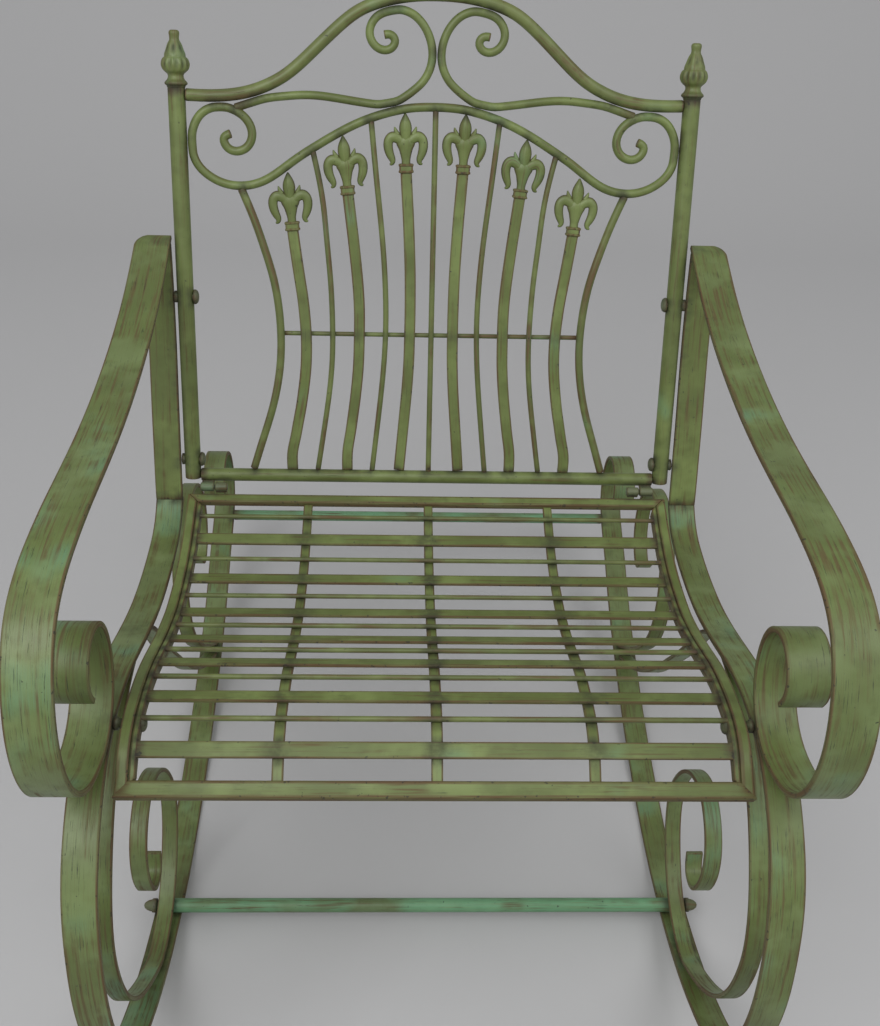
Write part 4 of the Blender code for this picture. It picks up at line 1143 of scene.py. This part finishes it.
    def fleur_bar(self, number: int) -> None:
        """Flat back bar with the fleur-de-lis cast on its top, on both sides.

        The bar's centreline is the middle of the solid's slices below the fleur.

        Args:
            number: Number of the bar, counted from the outside in.
        """
        points, triangles = self.reader.solid(f"right_back_bar_{number}")
        height = points @ self.up
        pairs = sides_of(triangles)
        depth = points @ self.facing
        depth = (depth.min() + depth.max()) / 2
        levels = np.linspace(height.min() + 0.001, height.max() - self.fleur_height - 0.001, 16)
        low, high = height[pairs[:, 0]], height[pairs[:, 1]]
        middles = []
        for level in levels:
            crossed = (low - level) * (high - level) < 0
            share = ((level - low) / np.where(crossed, high - low, 1.0))[crossed]
            first, last = points[pairs[crossed, 0], 0], points[pairs[crossed, 1], 0]
            across = first + (last - first) * share
            middles.append(self.on_back((across.min() + across.max()) / 2, level, depth))
        top = points[height > height.max() - FACE_TOLERANCE][:, 0]
        tip = self.on_back((top.min() + top.max()) / 2, height.max(), depth)
        foot = middles[-1]
        rise = unit(tip - foot)
        foot = tip - rise * self.fleur_height
        keys = np.array(middles[:-1] + [foot])
        bar = Path(Path.spline(keys, 0.003), self.facing).longer(self.weld, 0.003)
        section = Section.flat(self.bar_width, self.bar_thickness, 0.0008).turned()
        for side, sign in SIDES:
            flip = np.array((sign, 1.0, 1.0))
            up = rise * flip
            place = np.array((np.cross(up, self.facing), up, self.facing, foot * flip))
            skin = Skin.joined([Skin.sweep(bar.on_side(sign), section), *self.fleur(place)])
            self.workshop.place(f"{side}_fleur_bar_{number}", skin, f"{side}_back_bar_{number}")

    def on_back(self, across: float, height: float, depth: float) -> np.ndarray:
        """Point of the leaning back from its offset to the right, height and depth."""
        return X_AXIS * across + self.up * height + self.facing * depth

    def fleur(self, place: np.ndarray) -> list[Skin]:
        """Limbs of a cast fleur-de-lis.

        Args:
            place: Rows right, up, facing and origin of the fleur.

        Returns:
            Stem, petal, hooks, spurs, crests and collar, each closed.
        """
        limbs = [Skin.lobe(self.stem_keys, place, self.fleur_depth, 0.25),
                 Skin.lobe(self.petal_keys, place, self.fleur_depth, 0.40)]
        front = place.copy()
        front[3] = place[3] + place[2] * self.crest_lift
        for flip in (1.0, -1.0):
            turn = np.array((flip, 1.0, 1.0))
            limbs.append(Skin.lobe(np.array(self.hook_keys) * turn, place, self.hook_depth, 0.10))
            limbs.append(Skin.lobe(np.array(self.spur_keys) * turn, place, self.spur_depth))
            limbs.append(Skin.lobe(np.array(self.crest_keys) * turn, front, self.crest_depth))
        for low, high, width, thickness, rounding, step in self.collar_bands:
            band = Path.straight(place[3] + place[1] * low, place[3] + place[1] * high, place[0], step)
            limbs.append(Skin.sweep(band, Section.flat(width, thickness, 0.0012), rounding))
        return limbs


@dataclass
class Seat(Maker):
    """Seat frame of paired strips, with straps, slats and rods.

    Nose keys are the distance behind the seat's front and the height there. Sag
    keys are that distance and how far the top line lies above the solid's.
    """

    rail_width: float = 0.0165
    outer_strip: float = 0.0106
    groove: float = 0.0010
    groove_depth: float = 0.0022
    rail_depth: float = 0.0130
    cross_rail_width: float = 0.0145
    rear_rail_width: float = 0.0115
    rear_rail_depth: float = 0.0085
    nose_depth: float = 0.0095
    nose_length: float = 0.034
    strap_width: float = 0.010
    strap_thickness: float = 0.003
    strap_spacing: float = 0.135
    slat_width: float = 0.0147
    slat_thickness: float = 0.003
    slat_drop: float = 0.001
    rod_diameter: float = 0.005
    first_member: float = 0.041
    last_member: float = 0.031
    members: int = 14
    step: float = 0.001
    key_stride: int = 12
    gap: float = 0.0003
    weld: float = 0.001
    slat_rounding: float = 0.0006
    rail_rounding: float = 0.0030
    nose_keys: Keys = (
        (0.000, 0.4418), (0.006, 0.4442), (0.014, 0.4488), (0.024, 0.4566),
        (0.033, 0.4622), (0.055, 0.4698), (0.081, 0.4718), (0.110, 0.4685),
    )
    sag_keys: Keys = (
        (0.050, 0.0), (0.090, -0.0030), (0.150, -0.0050), (0.220, -0.0078), (0.270, -0.0080),
        (0.330, -0.0036), (0.375, 0.0004), (0.415, 0.0052), (0.455, 0.0120),
    )

    def build(self) -> None:
        """Skin the frame, then the slats and rods."""
        low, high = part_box("seat_frame")
        self.half = high.x
        one, two = self.reader.edges("seat_frame", X_AXIS)
        top = (one if one[:, 2].mean() > two[:, 2].mean() else two)[:, 1:]
        top = top if top[0, 0] < top[-1, 0] else top[::-1]
        nose = np.array(self.nose_keys) + (low.y, 0.0)
        top = np.vstack((nose, top[top[:, 0] > nose[-1, 0] + 0.01]))
        line = Path.spline(top, self.step)[::self.key_stride]
        places, drops = np.array(self.sag_keys).T
        line[:, 1] += np.interp(line[:, 0] - low.y, places, drops)
        self.top = Path.spline(line, self.step)
        self.along = lengths(self.top)
        self.frame()
        reach = X_AXIS * (self.half - self.rail_width + self.weld)
        bottom = self.slat_drop + self.slat_thickness
        slat = Section.flat(self.slat_width, self.slat_thickness, self.slat_rounding)
        rod = Section.round(self.rod_diameter, 16)
        kinds = (("slat", slat, bottom - self.slat_thickness / 2),
                 ("rod", rod, bottom - self.rod_diameter / 2))
        places = np.linspace(self.first_member, self.along[-1] - self.last_member, self.members)
        for index, place in enumerate(places):
            kind, section, drop = kinds[index % 2]
            centre, way = self.under(place, drop)
            path = Path.straight(centre - reach, centre + reach, way)
            node = f"seat_{kind}_{index // 2 + 1}"
            self.workshop.place(f"{node}_skin", Skin.sweep(path, section), node)

    def under(self, place: float, drop: float) -> tuple[np.ndarray, np.ndarray]:
        """Point below the seat's top line, with the line's direction there.

        Args:
            place: Length along the line from the seat's front.
            drop: Distance square to the line.

        Returns:
            The point and the unit direction, both in the middle plane.
        """
        index = int(np.abs(self.along - place).argmin())
        way = unit(np.gradient(self.top, axis=0)[index])
        point = self.top[index] + np.array((way[1], -way[0])) * drop
        return np.array((0.0, *point)), np.array((0.0, *way))

    def line(self, start: float, end: float, drops: tuple[float, float]) -> np.ndarray:
        """Points along the seat under its top line.

        Args:
            start: Length at which the line starts.
            end: Length at which it ends.
            drops: Distance below the top line at the nose's tip and behind the nose.

        Returns:
            The points, in the middle plane.
        """
        places = np.linspace(start, end, round((end - start) / 0.003))
        levels = np.interp(places, (0.0, self.nose_length), drops)
        return np.array([self.under(place, drop)[0] for place, drop in zip(places, levels)])

    def frame(self) -> None:
        """Side rails of two strips, mitred front and rear rails, and straps."""
        length = self.along[-1]
        inner_strip = self.rail_width - self.outer_strip - self.groove
        web = self.rail_depth - 2 * self.groove_depth
        swell = ((0.0, self.nose_length), (self.nose_depth / self.rail_depth, 1.0))
        parts = []
        for width, inset, depth, drop in (
                (self.outer_strip, self.outer_strip / 2, self.rail_depth, 0.0),
                (inner_strip, self.rail_width - inner_strip / 2, self.rail_depth, 0.0),
                (2 * self.groove, self.outer_strip + self.groove / 2, web, self.groove_depth)):
            drops = (drop + depth / 2 * swell[1][0], drop + depth / 2)
            points = self.line(inset, length - inset, drops)
            points[:, 0] = self.half - inset
            path = Path(points, X_AXIS, (-1.0, 0.0), (1.0, 0.0))
            section = Section.flat(width, depth, min(0.0011, width / 3))
            for sign in (1.0, -1.0):
                parts.append(Skin.sweep(path.on_side(sign), section, swell=swell))
        for start, wide, skew in ((0.0, self.cross_rail_width, 1.0),
                                  (length - self.rear_rail_width, self.rear_rail_width, -1.0)):
            end = start + wide
            upper = self.line(start, end, (0.0, 0.0))[:, 1:]
            lower = self.line(start, end, (self.nose_depth, self.rear_rail_depth))[:, 1:]
            outline = np.vstack((upper, lower[::-1]))
            centre = (outline.min(axis=0) + outline.max(axis=0)) / 2
            reach = self.half - wide / 2
            path = Path.straight((-reach, *centre), (reach, *centre), np.array((0.0, 1.0, 0.0)))
            path.start_skew = (skew, 0.0)
            path.end_skew = (-skew, 0.0)
            parts.append(Skin.sweep(path, softened(outline - centre, self.rail_rounding)))
        level = self.slat_drop + self.slat_thickness + self.gap + self.strap_thickness / 2
        points = self.line(self.rail_width / 2, length - self.rail_width / 2, (level, level))
        strap = Section.flat(self.strap_width, self.strap_thickness, self.slat_rounding)
        for number in (-1, 0, 1):
            path = Path(points + X_AXIS * number * self.strap_spacing, X_AXIS)
            parts.append(Skin.sweep(path, strap))
        self.workshop.place("seat_frame_skin", Skin.joined(parts), "seat_frame")


@dataclass
class Fittings(Maker):
    """Bolts, hinges and stretchers.

    Keys of a turned piece are a share of its radius and a distance from its end.
    """

    head_keys: Keys = ((0.50, 0.0004), (0.80, 0.0014), (0.96, 0.0030), (1.00, 0.0046),
                       (0.97, 0.0052), (0.60, 0.0053), (0.58, 0.0058))
    bush_keys: Keys = ((0.58, 0.0040), (0.78, 0.0036), (0.80, 0.0004), (0.70, 0.0001))
    barrel_keys: Keys = ((0.80, 0.0002), (0.97, 0.0010), (1.00, 0.0020))
    nut_keys: Keys = ((0.60, 0.0001), (0.62, 0.0028), (0.96, 0.0032), (1.00, 0.0040), (1.00, 0.0078),
                      (0.84, 0.0088), (0.80, 0.0110), (0.66, 0.0140), (0.40, 0.0168))
    nut_length: float = 0.0180
    hinge_inner: float = 0.2262
    hinge_seam: float = 0.2405
    hinge_outer: float = 0.2565
    seam_gap: float = 0.0004
    pin_place: tuple[float, float] = (0.0185, 0.0175)
    back_leaf: tuple[float, float] = (0.0015, 0.0005)
    seat_leaf: tuple[float, float] = (0.0020, 0.0062)
    barrel_radius: float = 0.0050
    leaf_thickness: float = 0.0025
    leaf_clearance: float = 0.002
    front_place: tuple[float, float] = (0.1899, 0.0289)
    front_radius: float = 0.008
    front_half: float = 0.302
    rear_place: tuple[float, float] = (0.8167, 0.1170)
    rear_radius: float = 0.0075
    rear_half: float = 0.2776

    def build(self) -> None:
        """Make every fitting."""
        for side, sign in SIDES:
            for name in ("post_bolt_1", "post_bolt_2", "seat_bolt"):
                self.bolt(f"{side}_{name}", sign)
            self.hinge(side, sign)
        self.stretchers()

    def bolt(self, node: str, sign: float) -> None:
        """Round-headed bolt with the bush it clamps, turned about X.

        Args:
            node: Name of the node.
            sign: Side of the chair.
        """
        low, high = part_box(node)
        radius, length = (high.z - low.z) / 2, high.x - low.x
        start = low.x if sign > 0 else high.x
        origin = np.array((start, (low.y + high.y) / 2, (low.z + high.z) / 2))
        outline = self.profile(radius, length, self.head_keys, self.bush_keys)
        skin = Skin.lathe(outline, origin, X_AXIS * sign, Z_AXIS, steps=28)
        self.workshop.place(f"{node}_turned", skin, node)

    @staticmethod
    def profile(radius: float, length: float, start: Keys, end: Keys) -> np.ndarray:
        """Radius and height rows of a turned piece that is closed at both ends.

        Args:
            radius: Largest radius.
            length: Length along the axis.
            start: Rows of a share of the radius and the distance from the start.
            end: Rows of a share of the radius and the distance from the end.

        Returns:
            The rows, from the start to the end.
        """
        rows = [(PINHOLE, 0.0)]
        rows += [(share * radius, at) for share, at in start]
        rows += [(share * radius, length - at) for share, at in end]
        return np.array(rows + [(PINHOLE, length)])

    def hinge(self, side: str, sign: float) -> None:
        """Barrel hinge of two knuckles, one leaf on the seat and one on the back.

        Args:
            side: Name of the side.
            sign: Side of the chair.
        """
        low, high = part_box(f"{side}_hinge")
        pin = np.array((0.0, low.y + self.pin_place[0], low.z + self.pin_place[1]))
        back = np.array((0.0, high.y - self.back_leaf[0], high.z - self.back_leaf[1]))
        seat = pin - (0.0, *self.seat_leaf)
        parts = []
        for start, end in ((self.hinge_inner, self.hinge_seam - self.seam_gap),
                           (self.hinge_seam + self.seam_gap, self.hinge_outer)):
            run = end - start
            first = (*self.barrel_keys, (1.0, run / 2))
            outline = self.profile(self.barrel_radius, run, first, self.barrel_keys[::-1])
            origin = pin + X_AXIS * start * sign
            parts.append(Skin.lathe(outline, origin, X_AXIS * sign, Z_AXIS, steps=28))
        for target, start, end in ((seat, self.hinge_inner, self.hinge_seam),
                                   (back, self.hinge_seam, self.hinge_outer)):
            x = X_AXIS * (start + end) / 2 * sign
            leaf = Section.flat(end - start - self.leaf_clearance, self.leaf_thickness)
            parts.append(Skin.sweep(Path.straight(pin + x, target + x, X_AXIS, 0.004), leaf))
        self.workshop.place(f"{side}_barrel_hinge", Skin.joined(parts), f"{side}_hinge")

    def stretchers(self) -> None:
        """Front stretcher with acorn nuts, and the rear one between the rockers."""
        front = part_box("seat_frame")[0].y
        radius = self.front_radius
        reach = X_AXIS * self.front_half
        origin = np.array((0.0, front + self.front_place[0], self.front_place[1]))
        path = Path.straight(origin - reach, origin + reach, Z_AXIS)
        rod = Skin.sweep(path, Section.round(2 * radius))
        self.workshop.place("front_stretcher_skin", rod, "front_stretcher")
        for side, sign in SIDES:
            outline = self.profile(radius, self.nut_length, self.nut_keys, ())
            nut = Skin.lathe(outline, origin + reach * sign, X_AXIS * sign, Z_AXIS, steps=28)
            self.workshop.place(f"{side}_acorn_nut", nut, slot=Slot.STEEL)
        reach = X_AXIS * self.rear_half
        origin = np.array((0.0, front + self.rear_place[0], self.rear_place[1]))
        section = Section.round(2 * self.rear_radius)
        rod = Skin.sweep(Path.straight(origin - reach, origin + reach, Z_AXIS), section)
        self.workshop.place("rear_stretcher_skin", rod, "rear_stretcher")


@dataclass
class Studio:
    """Camera, floor, backdrop and lamps."""

    camera_from_seat: tuple[float, float, float] = (-0.0412, -0.6912, 1.2635)
    pitch: float = math.radians(-37.028)
    yaw: float = math.radians(-2.781)
    roll: float = math.radians(-2.309)
    focal_px: float = 1250.0
    photo_height: float = 1026.0
    floor_colour: str = "#BABABB"
    sheet_front: float = 4.0
    sheet_flat: float = 1.6
    sheet_bend: float = 1.2
    sheet_height: float = 5.0
    sheet_half: float = 5.0
    sky_strength: float = 0.55
    lamp_target: tuple[float, float, float] = (0.0, 0.0, 0.4)

    def build(self) -> None:
        """Set up the whole studio."""
        self.camera()
        self.floor()
        self.lamps()

    def camera(self) -> None:
        """Place the camera by its turn: first yaw, then pitch, then roll."""
        cp, sp = math.cos(self.pitch), math.sin(self.pitch)
        cy, sy = math.cos(self.yaw), math.sin(self.yaw)
        cr, sr = math.cos(self.roll), math.sin(self.roll)
        spin = Matrix(((cy, sy, 0), (-sy, cy, 0), (0, 0, 1)))
        swap = Matrix(((1, 0, 0), (0, 0, -1), (0, 1, 0)))
        nod = Matrix(((1, 0, 0), (0, cp, sp), (0, -sp, cp)))
        tilt = Matrix(((cr, sr, 0), (-sr, cr, 0), (0, 0, 1)))
        right, down, ahead = tilt @ nod @ swap @ spin
        turn = Matrix((right, -down, -ahead)).transposed().to_4x4()
        data = bpy.data.cameras.new("camera")
        data.sensor_width = 36.0
        data.lens = self.focal_px / self.photo_height * data.sensor_width
        camera = bpy.data.objects.new("camera", data)
        bpy.context.scene.collection.objects.link(camera)
        seat_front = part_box("seat_frame")[0].y
        place = Vector(self.camera_from_seat) + Vector((0.0, seat_front, 0.0))
        camera.matrix_world = Matrix.Translation(place) @ turn
        bpy.context.scene.camera = camera

    def floor(self) -> None:
        """Pale matt sheet: flat under the chair, then curved up behind it."""
        turn = np.linspace(0.0, math.pi / 2, 24)
        flat, bend = self.sheet_flat, self.sheet_bend
        run = np.concatenate(([-self.sheet_front], flat + bend * np.sin(turn), [flat + bend]))
        rise = np.concatenate(([0.0], bend * (1 - np.cos(turn)), [self.sheet_height]))
        cross = np.array((-self.sheet_half, self.sheet_half))
        points = np.stack(np.broadcast_arrays(cross[None, :], run[:, None], rise[:, None]), axis=-1)
        quads = [(2 * i, 2 * i + 1, 2 * i + 3, 2 * i + 2) for i in range(len(run) - 1)]
        mesh = bpy.data.meshes.new("studio_sheet")
        mesh.from_pydata(points.reshape(-1, 3).tolist(), [], quads)
        mesh.polygons.foreach_set("use_smooth", np.ones(len(quads), bool))
        material = bpy.data.materials.new("matt_paper")
        material.use_nodes = True
        shader = material.node_tree.nodes["Principled BSDF"]
        shader.inputs["Base Color"].default_value = linear(self.floor_colour)
        shader.inputs["Roughness"].default_value = 0.9
        mesh.materials.append(material)
        sheet = bpy.data.objects.new("studio_sheet", mesh)
        bpy.context.scene.collection.objects.link(sheet)

    def lamps(self) -> None:
        """Even sky light and two large soft lamps over the front."""
        world = bpy.data.worlds.new("studio_sky")
        world.use_nodes = True
        sky = world.node_tree.nodes["Background"]
        sky.inputs["Color"].default_value = (1.0, 1.0, 1.0, 1.0)
        sky.inputs["Strength"].default_value = self.sky_strength
        bpy.context.scene.world = world
        for name, place, size, power in (("key_lamp", (-0.9, -1.6, 2.6), 1.6, 38.0),
                                         ("fill_lamp", (1.4, -0.9, 2.2), 1.4, 14.0)):
            data = bpy.data.lights.new(name, "AREA")
            data.size = size
            data.energy = power
            lamp = bpy.data.objects.new(name, data)
            bpy.context.scene.collection.objects.link(lamp)
            lamp.location = place
            aim = Vector(self.lamp_target) - lamp.location
            lamp.rotation_euler = aim.to_track_quat("-Z", "Y").to_euler()


def main() -> None:
    """Load the frame, build the chair's skins and the studio, and give the frame's own nodes their
    slots' finishes.
    """
    logging.basicConfig(level=logging.INFO, format="%(name)s: %(message)s")
    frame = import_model()
    reader = SolidReader(frame["nodes"])
    workshop = Workshop(frame["record"])
    for maker in (SideFrames, Back, Seat, Fittings):
        maker(reader, workshop).build()
    workshop.grime_joints()
    Studio().build()
    bpy.context.scene.view_settings.view_transform = "Standard"
    for node, item in frame["nodes"].items():
        item.data.materials.clear()
        item.data.materials.append(workshop.material(workshop.slot_of(node)))


if __name__ == "__main__":
    main()
